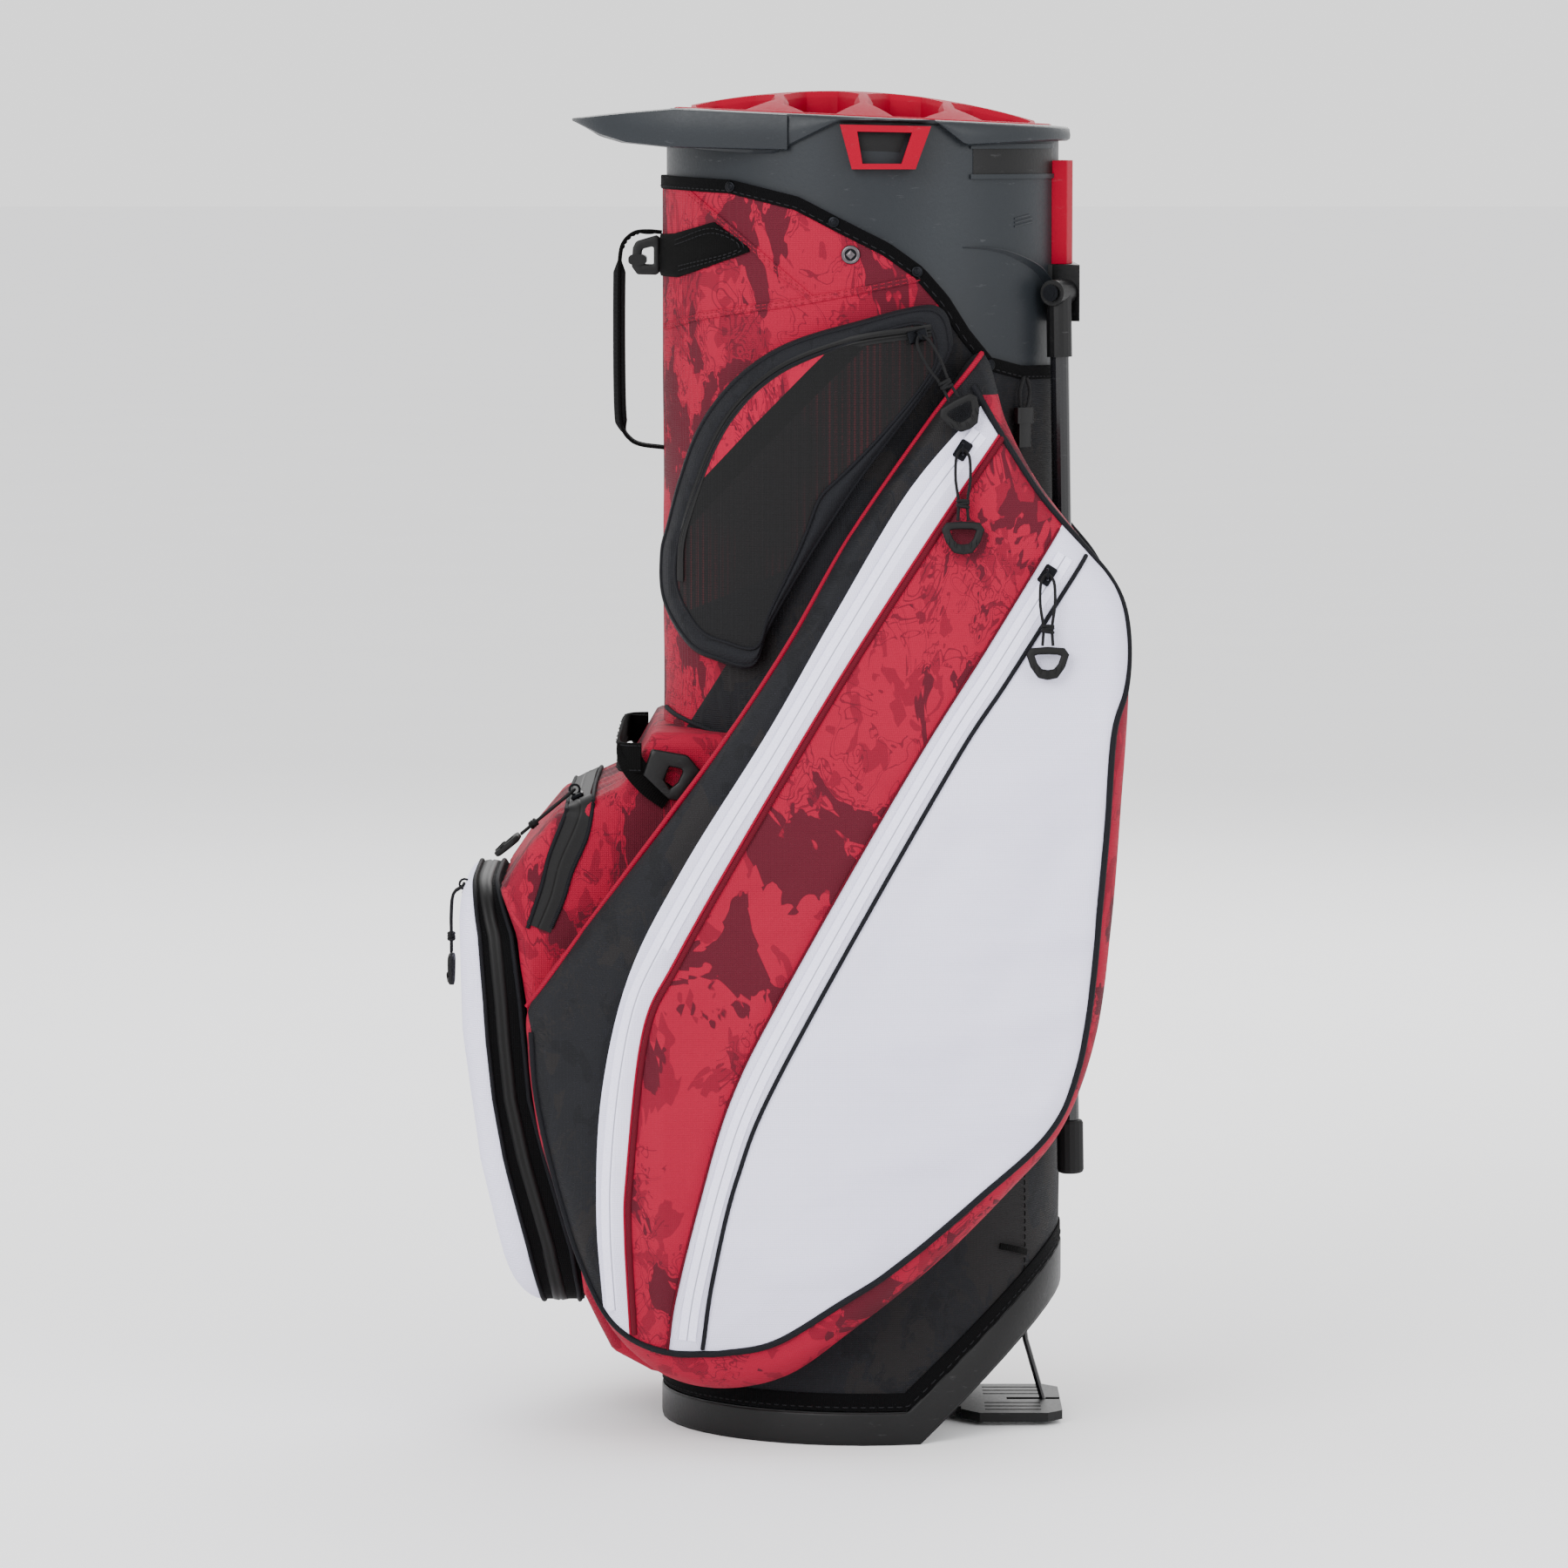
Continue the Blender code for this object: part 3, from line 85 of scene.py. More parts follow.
FACE_OUTLINE = [
    (0.07, 0.696), (0.088, 0.665), (0.114, 0.625), (0.144, 0.59), (0.16, 0.57), (0.168, 0.551),
    (0.1705, 0.525), (0.168, 0.5), (0.16, 0.473), (0.156, 0.413), (0.151, 0.356), (0.147, 0.311),
    (0.138, 0.256), (0.119, 0.214), (0.074, 0.172), (0.02, 0.126), (-0.016, 0.101), (-0.057, 0.075),
    (-0.089, 0.068), (-0.115, 0.067), (-0.132, 0.069), (-0.154, 0.077), (-0.171, 0.095), (-0.188, 0.135),
    (-0.204, 0.19), (-0.2135, 0.235), (-0.2165, 0.275)]

# Mesh pockets, as (x, z)
MESH_OUTLINE = [
    (0.044, 0.7475), (-0.0082, 0.7363), (-0.0475, 0.724), (-0.0739, 0.7083), (-0.0947, 0.6875),
    (-0.1105, 0.6622), (-0.1218, 0.6307), (-0.1297, 0.6009), (-0.1345, 0.58), (-0.1325, 0.55),
    (-0.1152, 0.5229), (-0.0949, 0.5139), (-0.073, 0.511), (-0.064, 0.534), (-0.047, 0.565), (-0.024, 0.603),
    (0.005, 0.646), (0.05, 0.706), (0.057, 0.728)]
MESH_CENTRE = (-0.045, 0.635)
MESH_DEPTH = 0.0125
MESH_EDGE = 0.01
MESH_BAND = 0.0135
MESH_ZIP = [
    (0.043, 0.7315), (-0.006, 0.7245), (-0.043, 0.712), (-0.067, 0.697), (-0.0865, 0.6765), (-0.101, 0.65),
    (-0.1115, 0.62), (-0.119, 0.592), (-0.12, 0.566)]
MESH_SLANT = [(-0.02, 0.722), (-0.0363, 0.706), (-0.0762, 0.665), (-0.1139, 0.6239), (-0.14, 0.595)]
MESH_FLOOR = [(-0.135, 0.538), (-0.1208, 0.5443), (-0.0447, 0.5793), (-0.02, 0.59)]

# Front pockets, as (x, z)
FRONT_HALF = 0.107
FRONT_TOP = [
    (-0.055, 0.466), (-0.1375, 0.4695), (-0.15, 0.448), (-0.158, 0.435), (-0.172, 0.4285), (-0.2016, 0.415),
    (-0.22, 0.392), (-0.2385, 0.366)]
FRONT_BACK = [
    (-0.2385, 0.366), (-0.2275, 0.335), (-0.2215, 0.29), (-0.2155, 0.223), (-0.203, 0.179), (-0.188, 0.127),
    (-0.184, 0.098)]
FRONT_FOOT = [(-0.165, 0.06), (-0.1375, 0.045), (-0.055, 0.045)]
FRONT_CENTRE = (-0.11, 0.27)
BALL_HALF = 0.1
BALL_LOW = 0.085
BALL_HIGH = 0.369
BALL_FACE = [
    (-0.228, 0.08), (-0.241, 0.122), (-0.256, 0.185), (-0.2655, 0.267), (-0.2687, 0.343), (-0.268, 0.38)]
BALL_WALL = 0.58          # share of the ball pocket's depth that its zip wall takes up

# Zip pulls, in the order slider, cord and grip, as the frame's solids lie
LOOP_HALF = 0.0045
PULL_STRAND = 0.046
CORD_RADIUS = 0.001
ARCH_HEIGHT = 0.0067
LEDGE_REACH = 0.0095
SIDE_SLOPE = 0.169


# ---------------------------------------------------------------- curves and sections

def spline(points, steps, closed=False):
    """A Catmull-Rom curve through the points, with so many steps from each to the next."""
    p = np.asarray(points, float)
    p = np.vstack([p[-1], p, p[0], p[1]] if closed else [2 * p[0] - p[1], p, 2 * p[-1] - p[-2]])
    t = np.linspace(0, 1, steps, endpoint=False)[:, None, None]
    a, b, c, d = p[:-3], p[1:-2], p[2:-1], p[3:]
    bend, twist = 2 * a - 5 * b + 4 * c - d, 3 * b - a - 3 * c + d
    run = 0.5 * (2 * b + (c - a) * t + bend * t ** 2 + twist * t ** 3)
    return np.vstack([run.transpose(1, 0, 2).reshape(-1, p.shape[1]), p[1] if closed else p[-2]])


def spread(points, count, closed=False):
    """Evenly spaced places on the smooth curve through the points."""
    return along(spline(points, 24, closed), count, closed)


def along(run, count, closed=False):
    """Evenly spaced places along a run of straight steps."""
    run = np.asarray(run, float)
    length = np.r_[0, np.cumsum(np.linalg.norm(np.diff(run, axis=0), axis=1))]
    at = np.linspace(0, length[-1], count, endpoint=not closed)
    return np.stack([np.interp(at, length, run[:, k]) for k in range(run.shape[1])], axis=1)


def unit(vectors):
    """The vectors made one long."""
    return vectors / np.maximum(np.linalg.norm(vectors, axis=-1, keepdims=True), 1e-12)


def turns(count):
    """Evenly spaced angles of one whole turn."""
    return np.linspace(0, 2 * math.pi, count, endpoint=False)


def bow(value, power):
    """A value raised to a power with its sign kept."""
    return np.sign(value) * np.abs(value) ** power


def ring(radius, sides=10, flat=1.0, square=2.0):
    """A section: a circle, flattened by a share, its corners squared up as the power rises above 2."""
    turn, power = turns(sides), 2 / square
    return radius * np.stack([bow(np.cos(turn), power), flat * bow(np.sin(turn), power)], axis=1)


def mirrored(half):
    """Half a line across the bag, whose last place is on its middle, and the same run back on the other
    side."""
    return half + [(place[0], -place[1], *place[2:]) for place in half[-2::-1]]


def strap_section(width, thick, sides=20):
    """The section of a flat strap with rounded edges."""
    return ring(width / 2, sides, thick / width, 5.0)


def carry(path, section, up, closed=False, size=None):
    """A section carried along a path: each place is the path plus the section's first number sideways and its
    second number outwards, where sideways is the path's own direction crossed with up."""
    path = np.asarray(path, float)
    ahead = np.roll(path, -1, 0) - np.roll(path, 1, 0) if closed else np.gradient(path, axis=0)
    ahead = unit(ahead)
    side = unit(np.cross(ahead, np.broadcast_to(np.asarray(up, float), path.shape)))
    out = np.cross(side, ahead)
    scale = (np.ones(len(path)) if size is None else np.asarray(size))[:, None, None]
    reach = side[:, None] * section[None, :, :1] + out[:, None] * section[None, :, 1:]
    return path[:, None] + scale * reach


def line_distance(x, z, line, closed=False):
    """Signed distance of places to a line of straight steps, positive on the line's left as it runs on."""
    p = np.asarray(line, float)
    if closed:
        p = np.vstack([p, p[:1]])
    a, step = p[:-1], np.diff(p, axis=0)
    place = np.stack([np.ravel(x), np.ravel(z)], axis=1)[:, None]
    share = np.clip(np.sum((place - a) * step, axis=2) / np.sum(step ** 2, axis=1), 0, 1)
    away = place - (a + share[..., None] * step)
    gap = np.linalg.norm(away, axis=2)
    near = np.argmin(gap, axis=1)
    rows = np.arange(len(near))
    turn = step[near, 0] * away[rows, near, 1] - step[near, 1] * away[rows, near, 0]
    return (np.sign(turn) * gap[rows, near]).reshape(np.shape(x))


def lengthened(line, reach=0.08):
    """A line with its two end steps run on."""
    p = np.asarray(line, float)
    return np.vstack([p[0] + reach * unit(p[0] - p[1]), p, p[-1] + reach * unit(p[-1] - p[-2])])


def oval_y(x, lift=0.0):
    """Half-width of the body's oval at x, raised by a lift."""
    return (HALF_Y + lift) * np.sqrt(np.clip(1 - (x / (HALF_X + lift)) ** 2, 0, None))


def on_oval(x, z, side, lift=0.0):
    """Places on one side of the body at (x, z), raised by a lift."""
    return np.stack([x, side * oval_y(x, lift), z + 0 * x], axis=-1)


def oval_out(x, side):
    """Outward directions of the body's oval at x, on one side."""
    y = side * np.maximum(oval_y(x), 1e-5)
    return unit(np.stack([x / HALF_X ** 2, y / HALF_Y ** 2, 0 * x], axis=-1))


def oval_run(line, side, lift=0.0):
    """A line of (x, z) laid on one side of the body, raised by a lift, and its outward directions."""
    return on_oval(*line.T, side, lift), oval_out(line[:, 0], side)


# ---------------------------------------------------------------- building pieces

def skin(grid, around=False, tube=False, finish=0, **fields):
    """A surface over a grid of places: `around` closes its rows into loops, `tube` joins its last row to its
    first, and rows that don't meet are capped. Fields are numbers for the finish, one to each place."""
    return {"grid": np.asarray(grid, float), "around": around, "tube": tube, "finish": finish,
            "fields": fields}


def bar(path, section, up, closed=False, size=None, finish=0, **fields):
    """A section carried along a path and closed into a skin."""
    return skin(carry(path, section, up, closed, size), around=True, tube=closed, finish=finish, **fields)


def add_object(name, data):
    """A new object in the scene."""
    made = bpy.data.objects.new(name, data)
    bpy.context.scene.collection.objects.link(made)
    return made


def piece(name, skins, finishes, body="bag", slot=None, replaces=(), crease=50):
    """One object from its skins, with a UV map in metres along and across each skin."""
    verts, faces, uvs, marks, fields, start = [], [], [], [], {}, 0
    for part in skins:
        grid = part["grid"]
        u = np.r_[0, np.cumsum(np.linalg.norm(np.diff(grid, axis=0), axis=2).mean(axis=1))]
        wide = np.concatenate([grid, grid[:, :1]], axis=1) if part["around"] else grid
        v = np.r_[0, np.cumsum(np.linalg.norm(np.diff(wide, axis=1), axis=2).mean(axis=0))]
        high = np.concatenate([wide, wide[:1]], axis=0) if part["tube"] else wide
        u = np.r_[u, u[-1] + (u[1] if len(u) > 1 else 0)] if part["tube"] else u
        rows, columns = high.shape[:2]
        index = start + np.arange(rows * columns).reshape(rows, columns)
        quads = np.stack([index[:-1, :-1], index[:-1, 1:], index[1:, 1:], index[1:, :-1]],
                         axis=-1).reshape(-1, 4)
        verts.append(high.reshape(-1, 3))
        faces += quads.tolist()
        where = np.stack(np.meshgrid(u, v, indexing="ij"), axis=-1).reshape(-1, 2)
        uvs.append(where)
        caps = 0
        if part["around"] and not part["tube"]:
            faces += [index[0, :-1][::-1].tolist(), index[-1, :-1].tolist()]
            caps = 2
        marks += [part["finish"]] * (len(quads) + caps)
        for key, value in part["fields"].items():
            value = np.broadcast_to(value, grid.shape[:2])
            value = np.concatenate([value, value[:, :1]], axis=1) if part["around"] else value
            value = np.concatenate([value, value[:1]], axis=0) if part["tube"] else value
            fields.setdefault(key, []).append((start, value.ravel()))
        start += rows * columns
    mesh = bpy.data.meshes.new(name)
    mesh.from_pydata(np.vstack(verts).tolist(), [], faces)
    uv_layer = mesh.uv_layers.new(name="cloth")
    corners = np.empty(len(mesh.loops), int)
    mesh.loops.foreach_get("vertex_index", corners)
    uv_layer.data.foreach_set("uv", np.vstack(uvs)[corners].ravel())
    for key, runs in fields.items():
        values = np.zeros(start)
        for first, run in runs:
            values[first:first + len(run)] = run
        mesh.attributes.new(key, "FLOAT", "POINT").data.foreach_set("value", values)
    mesh.polygons.foreach_set("material_index", marks)
    for finish in finishes:
        mesh.materials.append(finish)
    shape = bmesh.new()
    shape.from_mesh(mesh)
    bmesh.ops.remove_doubles(shape, verts=shape.verts, dist=1e-6)
    bmesh.ops.dissolve_degenerate(shape, edges=shape.edges, dist=1e-6)
    bmesh.ops.recalc_face_normals(shape, faces=shape.faces)
    for face in shape.faces:
        face.smooth = True
    for edge in shape.edges:
        edge.smooth = len(edge.link_faces) == 2 and edge.calc_face_angle(0.0) < math.radians(crease)
    shape.to_mesh(mesh)
    shape.free()
    made = add_object(name, mesh)
    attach(made, body)
    if replaces:
        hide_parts(*replaces)
    return made


# ---------------------------------------------------------------- finishes

def rgb(red, green, blue):
    """A colour from its screen values out of 255."""
    value = np.array([red, green, blue]) / 255
    return (*np.where(value < 0.04045, value / 12.92, ((value + 0.055) / 1.055) ** 2.4), 1.0)


CAMO_RED = rgb(146, 0, 40)
CAMO_MID = rgb(121, 0, 33)
CAMO_MAROON = rgb(78, 2, 24)
NAVY = rgb(13, 14, 19)
NAVY_DEEP = rgb(7, 8, 13)
NAVY_WARM = rgb(21, 19, 20)
WHITE = rgb(236, 234, 255)
WHITE_SHADE = rgb(222, 220, 246)
BLACK = rgb(5, 5, 6)


class Kit:
    """A new finish and the nodes that paint it."""

    def __init__(self, name, roughness, metallic=0.0, coat=0.0, specular=0.22):
        self.material = bpy.data.materials.new(name)
        self.material.use_nodes = True
        self.tree = self.material.node_tree
        self.shader = self.tree.nodes["Principled BSDF"]
        for socket, value in (("Roughness", roughness), ("Metallic", metallic), ("Coat Weight", coat),
                              ("Coat Roughness", 0.12), ("Specular IOR Level", specular)):
            self.shader.inputs[socket].default_value = value

    def node(self, kind, inputs=None, output=0, **settings):
        made = self.tree.nodes.new("ShaderNode" + kind)
        for key, value in settings.items():
            setattr(made, key, value)
        for socket, value in (inputs or {}).items():
            if isinstance(value, bpy.types.NodeSocket):
                self.tree.links.new(value, made.inputs[socket])
            else:
                made.inputs[socket].default_value = value
        return made.outputs[output]

    def math(self, operation, a, b=0.0, c=0.0):
        return self.node("Math", {0: a, 1: b, 2: c}, operation=operation)

    def times(self, a, b):
        return self.math("MULTIPLY", a, b)

    def wave(self, value, pitch):
        """A sine of the value, one wave to each pitch."""
        return self.math("SINE", self.times(value, 2 * math.pi / pitch))

    def mix(self, share, a, b):
        return self.node("MixRGB", {0: share, 1: a, 2: b})

    def place(self, scale=(1, 1, 1), turn=(0, 0, 0)):
        where = self.node("TexCoord", output="Object")
        return self.node("Mapping", {"Vector": where, "Scale": scale, "Rotation": turn})

    def cloth(self, scale=(1, 1, 1), turn=(0, 0, 0)):
        where = self.node("UVMap", uv_map="cloth")
        return self.node("Mapping", {"Vector": where, "Scale": scale, "Rotation": turn})

    def noise(self, where, scale, detail=2.0, rough=0.5, twist=0.0, output="Fac"):
        return self.node("TexNoise", {"Vector": where, "Scale": scale, "Detail": detail, "Roughness": rough,
                                      "Distortion": twist}, output)

    def field(self, name):
        return self.node("Attribute", output="Fac", attribute_name=name)

    def over(self, value, edge, soft=0.0):
        """1 where the value is over the edge, softened over a width."""
        if not soft:
            return self.math("GREATER_THAN", value, edge)
        return self.node("MapRange", {"Value": value, "From Min": edge - soft, "From Max": edge + soft})

    def axis(self, where, name):
        return self.node("SeparateXYZ", {0: where}, name)

    def paint(self, colour):
        self.tree.links.new(colour, self.shader.inputs["Base Color"])

    def gloss(self, value):
        self.tree.links.new(value, self.shader.inputs["Roughness"])

    def relief(self, *layers):
        """Stacks bumps: each layer is a height and its depth in metres."""
        last = None
        for height, depth in layers:
            inputs = {"Height": height, "Distance": depth, "Strength": 0.8}
            if last:
                inputs["Normal"] = last
            last = self.node("Bump", inputs)
        self.tree.links.new(last, self.shader.inputs["Normal"])


def camo(kit, light, middle, dark, lines):
    """Camouflage: tall ragged blobs in two darker tones, with thin lines that follow the blobs' outlines like
    the contours of a map."""
    where = kit.place((1, 1, 0.6))
    ragged = kit.node("TexVoronoi", {"Vector": where, "Scale": 75.0}, "Color")
    push = kit.node("VectorMath", {0: ragged, 1: (0.5, 0.5, 0.5)}, operation="SUBTRACT")
    push = kit.node("VectorMath", {0: push, "Scale": 0.0075}, operation="SCALE")
    where = kit.node("VectorMath", {0: where, 1: push}, operation="ADD")
    blobs = kit.noise(where, 17.0, 3.5, 0.6, 1.1)
    second = kit.noise(where, 29.0, 2.0, 0.5, 1.6)
    swirl = kit.noise(kit.place((1, 1, 0.7)), 21.0, 2.0, 0.5, 2.2)
    region = kit.over(kit.noise(kit.place(), 8.0, 1.0), 0.5)
    colour = kit.mix(kit.over(second, 0.555, 0.004), light, middle)
    for value, level, width, strength in ((blobs, 0.508, 0.005, 0.75), (blobs, 0.478, 0.004, 0.6),
                                          (swirl, 0.5, 0.006, 0.675), (swirl, 0.56, 0.005, 0.675)):
        line = kit.math("LESS_THAN", kit.math("ABSOLUTE", kit.math("SUBTRACT", value, level)), width)
        colour = kit.mix(kit.times(kit.times(line, region), strength), colour, lines)
    return kit.mix(kit.over(blobs, 0.535, 0.003), colour, dark)


def red_camo(kit):
    return camo(kit, CAMO_RED, CAMO_MID, CAMO_MAROON, CAMO_MAROON)


def black_camo(kit):
    return camo(kit, NAVY, NAVY_DEEP, NAVY_WARM, NAVY_WARM)


def off_white(kit):
    return kit.mix(kit.noise(kit.place(), 6.0, 3.0), WHITE, WHITE_SHADE)


def ripstop(kit, pitch=0.0026):
    """Height of a fine woven check with a stronger thread at each pitch, on object coordinates."""
    where = kit.place()
    flat = kit.math("ADD", kit.axis(where, "X"), kit.axis(where, "Y"))
    warp, weft = (kit.math("POWER", kit.math("ABSOLUTE", kit.wave(value, pitch)), 8.0)
                  for value in (flat, kit.axis(where, "Z")))
    return kit.math("MAXIMUM", warp, weft)


def soft_wrinkles(kit):
    """Height of slack in cloth: low waves a few centimetres apart."""
    return kit.noise(kit.place((1, 1, 1.6), (0, 0.5, 0)), 9.0, 2.0, 0.45, 0.6)


def cloth_colour(kit, colour, threads, amount=0.1):
    """The colour a little darker between the threads and uneven over a hand's width."""
    colour = kit.mix(kit.times(threads, amount), colour, (0, 0, 0, 1))
    patches = kit.noise(kit.place(), 5.0, 2.0)
    return kit.mix(kit.times(kit.over(patches, 0.5, 0.2), 0.07), colour, (0, 0, 0, 1))


def weave_cloth(kit, colour, threads, depth, slack, amount=0.1):
    """Paints a cloth and raises its threads to a depth and its slack to another."""
    kit.paint(cloth_colour(kit, colour, threads, amount))
    kit.relief((threads, depth), (soft_wrinkles(kit), slack))
    return kit.material


def red_camo_cloth():
    """The cloth of the front pocket and the upper seams."""
    kit = Kit("red_camo_cloth", 0.72)
    return weave_cloth(kit, red_camo(kit), ripstop(kit), 0.0003, 0.006)


def body_cloth():
    """The tube's cloth: red camo in front and dark camo behind and round the foot."""
    kit = Kit("body_cloth", 0.74)
    where = kit.place()
    x, z = kit.axis(where, "X"), kit.axis(where, "Z")
    slant = kit.math("MINIMUM", 0.058, kit.math("MULTIPLY_ADD", z, 0.608, -0.401))
    dark = kit.math("MAXIMUM", kit.math("GREATER_THAN", x, slant), kit.math("LESS_THAN", z, 0.3))
    return weave_cloth(kit, kit.mix(dark, red_camo(kit), black_camo(kit)), ripstop(kit), 0.0003, 0.006)


def side_pocket_cloth():
    """The side pocket's panels, told apart by their place between its seams: a dark camo panel, a white
    stripe, a red camo stripe, a white stripe and the big white panel, inside a red camo gusset."""
    kit = Kit("side_pocket_cloth", 0.7)
    panel, inside = kit.field("panel"), kit.field("inside")
    red, black, white = red_camo(kit), black_camo(kit), off_white(kit)
    colour = black
    for seam, cloth in ((1.0, white), (2.0, red), (3.0, white)):
        colour = kit.mix(kit.over(panel, seam), colour, cloth)
    height = kit.axis(kit.place(), "Z")
    upper = kit.times(kit.over(height, 0.53), kit.math("LESS_THAN", panel, 0.0))
    gusset = kit.mix(kit.math("MAXIMUM", upper, kit.over(height, 0.69)), red, black)
    colour = kit.mix(kit.over(inside, 0.0), gusset, colour)
    return weave_cloth(kit, colour, ripstop(kit), 0.00028, 0.011, 0.06)


def ball_pocket_cloth():
    """White over the ball pocket's face and black tape on its zip wall."""
    kit = Kit("ball_pocket_cloth", 0.8, specular=0.08)
    colour = kit.mix(kit.over(kit.field("share"), BALL_WALL), BLACK, off_white(kit))
    return weave_cloth(kit, colour, ripstop(kit), 0.00028, 0.005, 0.07)


def mesh_pocket_cloth():
    """The mesh pocket: a navy band inside its edge, a red camo corner, a black slanting band, see-through
    looking mesh with the red cloth faint behind it, and a plain black foot."""
    kit = Kit("mesh_pocket_cloth", 0.78)
    threads = ripstop(kit, 0.0022)
    where = kit.place()
    navy = camo(kit, NAVY, NAVY_DEEP, NAVY, NAVY_DEEP)
    stripes = kit.math("ABSOLUTE", kit.wave(kit.axis(where, "X"), 0.0082))
    behind = kit.mix(kit.over(kit.noise(kit.place((1, 1, 0.5)), 14.0, 2.0), 0.5, 0.12), rgb(12, 10, 12),
                     rgb(50, 12, 18))
    mesh = kit.mix(kit.over(stripes, 0.8, 0.15), rgb(14, 11, 13), behind)
    holes = kit.node("TexVoronoi", {"Vector": where, "Scale": 620.0, "Randomness": 0.15}, "Distance")
    mesh = kit.mix(kit.over(holes, 0.42, 0.2), mesh, rgb(7, 7, 8))
    slant, low, rim = kit.field("slant"), kit.field("low"), kit.field("rim")
    colour = kit.mix(kit.over(slant, -0.015), mesh, BLACK)
    colour = kit.mix(kit.over(slant, 0.0), colour, red_camo(kit))
    colour = kit.mix(kit.over(low, 0.0), colour, rgb(8, 8, 10))
    colour = kit.mix(kit.over(rim, MESH_BAND), navy, colour)
    kit.paint(colour)
    kit.relief((holes, 0.0003), (threads, 0.0002), (soft_wrinkles(kit), 0.003))
    return kit.material


def webbing(name, colour, other, pitch=0.0016):
    """Woven tape: ribs across the strap and a finer herringbone between them."""
    kit = Kit(name, 0.85, specular=0.08)
    where = kit.cloth()
    u, v = kit.axis(where, "X"), kit.axis(where, "Y")
    bone = kit.wave(kit.math("ADD", kit.math("PINGPONG", v, 0.004), u), 0.7 * pitch)
    height = kit.math("ADD", kit.times(kit.wave(u, pitch), 0.5), kit.times(bone, 0.5))
    kit.paint(kit.mix(kit.over(height, 0.0, 0.8), other, colour))
    kit.relief((height, 0.0003))
    return kit.material


def piping_cloth(name, colour, other):
    """Bias cloth round a cord, its threads running slantwise."""
    kit = Kit(name, 0.7, specular=0.15)
    where = kit.cloth()
    threads = kit.wave(kit.math("ADD", kit.axis(where, "X"), kit.axis(where, "Y")), 0.0014)
    kit.paint(kit.mix(kit.over(threads, 0.0, 0.9), other, colour))
    kit.relief((threads, 0.00015))
    return kit.material


def zip_tape(name, colour, shade, line, gap_half=0.0007):
    """Coated zip: two smooth lips that meet at a line."""
    kit = Kit(name, 0.55)
    gap = kit.math("ABSOLUTE", kit.field("across"))
    grain = kit.noise(kit.place(), 900.0, 2.0)
    tape = kit.mix(kit.over(grain, 0.5, 0.2), colour, shade)
    kit.paint(kit.mix(kit.over(gap, gap_half, 0.3 * gap_half), line, tape))
    kit.relief((grain, 0.00008))
    return kit.material


def moulded(name, colour, other, roughness, grain=420.0, depth=0.00012, coat=0.0, specular=0.22):
    """Moulded plastic: fine grain, slow colour drift and faint scuff streaks painted lighter as sheen."""
    kit = Kit(name, roughness, coat=coat, specular=specular)
    fine = kit.noise(kit.place(), grain, 3.0, 0.6)
    drift = kit.noise(kit.place(), 8.0, 3.0, 0.5)
    scuffs_and_sheen = kit.noise(kit.place((1, 1, 5.0), (0.2, 0.5, 0.0)), 60.0, 4.0, 0.7)
    colour = kit.mix(kit.over(drift, 0.5, 0.25), colour, other)
    # scuff streaks mixed a tenth towards light grey: wear, with painted sheen
    kit.paint(kit.mix(kit.times(kit.over(scuffs_and_sheen, 0.68, 0.04), 0.1), colour, rgb(120, 120, 122)))
    kit.gloss(kit.node("MapRange", {"Value": fine, "To Min": roughness - 0.08, "To Max": roughness + 0.1}))
    kit.relief((fine, depth))
    return kit.material


def metal(name, colour, roughness):
    """Metal with a fine grain and uneven polish."""
    kit = Kit(name, roughness, metallic=1.0)
    grain = kit.noise(kit.place(), 700.0, 2.0)
    kit.paint(kit.mix(kit.times(grain, 0.35), colour, (0, 0, 0, 1)))
    kit.gloss(kit.node("MapRange", {"Value": grain, "To Min": roughness - 0.06, "To Max": roughness + 0.12}))
    kit.relief((grain, 0.00004))
    return kit.material


def rubber(name, colour, other):
    """Rubber with a fine grain and uneven tone."""
    kit = Kit(name, 0.62)
    fine = kit.noise(kit.place(), 700.0, 3.0)
    kit.paint(kit.mix(kit.noise(kit.place(), 30.0, 2.0), colour, other))
    kit.relief((fine, 0.0001))
    return kit.material


def braid(name, colour, other):
    """Braided cord: two sets of strands that cross round it."""
    kit = Kit(name, 0.7)
    where = kit.place()
    long = kit.axis(where, "Z")
    flat = kit.math("ADD", kit.axis(where, "X"), kit.axis(where, "Y"))
    weave = kit.times(kit.wave(kit.math("ADD", long, flat), 0.0012),
                      kit.wave(kit.math("SUBTRACT", long, flat), 0.0012))
    kit.paint(kit.mix(kit.over(weave, 0.0, 0.6), colour, other))
    kit.relief((weave, 0.0002))
    return kit.material


def padded_cloth(name, colour, other):
    """Spacer mesh over foam: small round dimples in offset rows."""
    kit = Kit(name, 0.85)
    dots = kit.node("TexVoronoi", {"Vector": kit.place(), "Scale": 330.0, "Randomness": 0.1}, "Distance")
    kit.paint(kit.mix(kit.over(dots, 0.35, 0.2), other, colour))
    kit.relief((dots, 0.0006), (kit.noise(kit.place(), 40.0, 2.0), 0.001))
    return kit.material


def divider_cloth():
    """Brushed cloth over the dividers."""
    kit = Kit("divider_cloth", 0.85)
    nap = kit.noise(kit.place((1, 1, 0.3)), 500.0, 3.0)
    kit.paint(kit.mix(nap, rgb(12, 12, 14), rgb(24, 24, 28)))
    kit.relief((nap, 0.0003))
    return kit.material


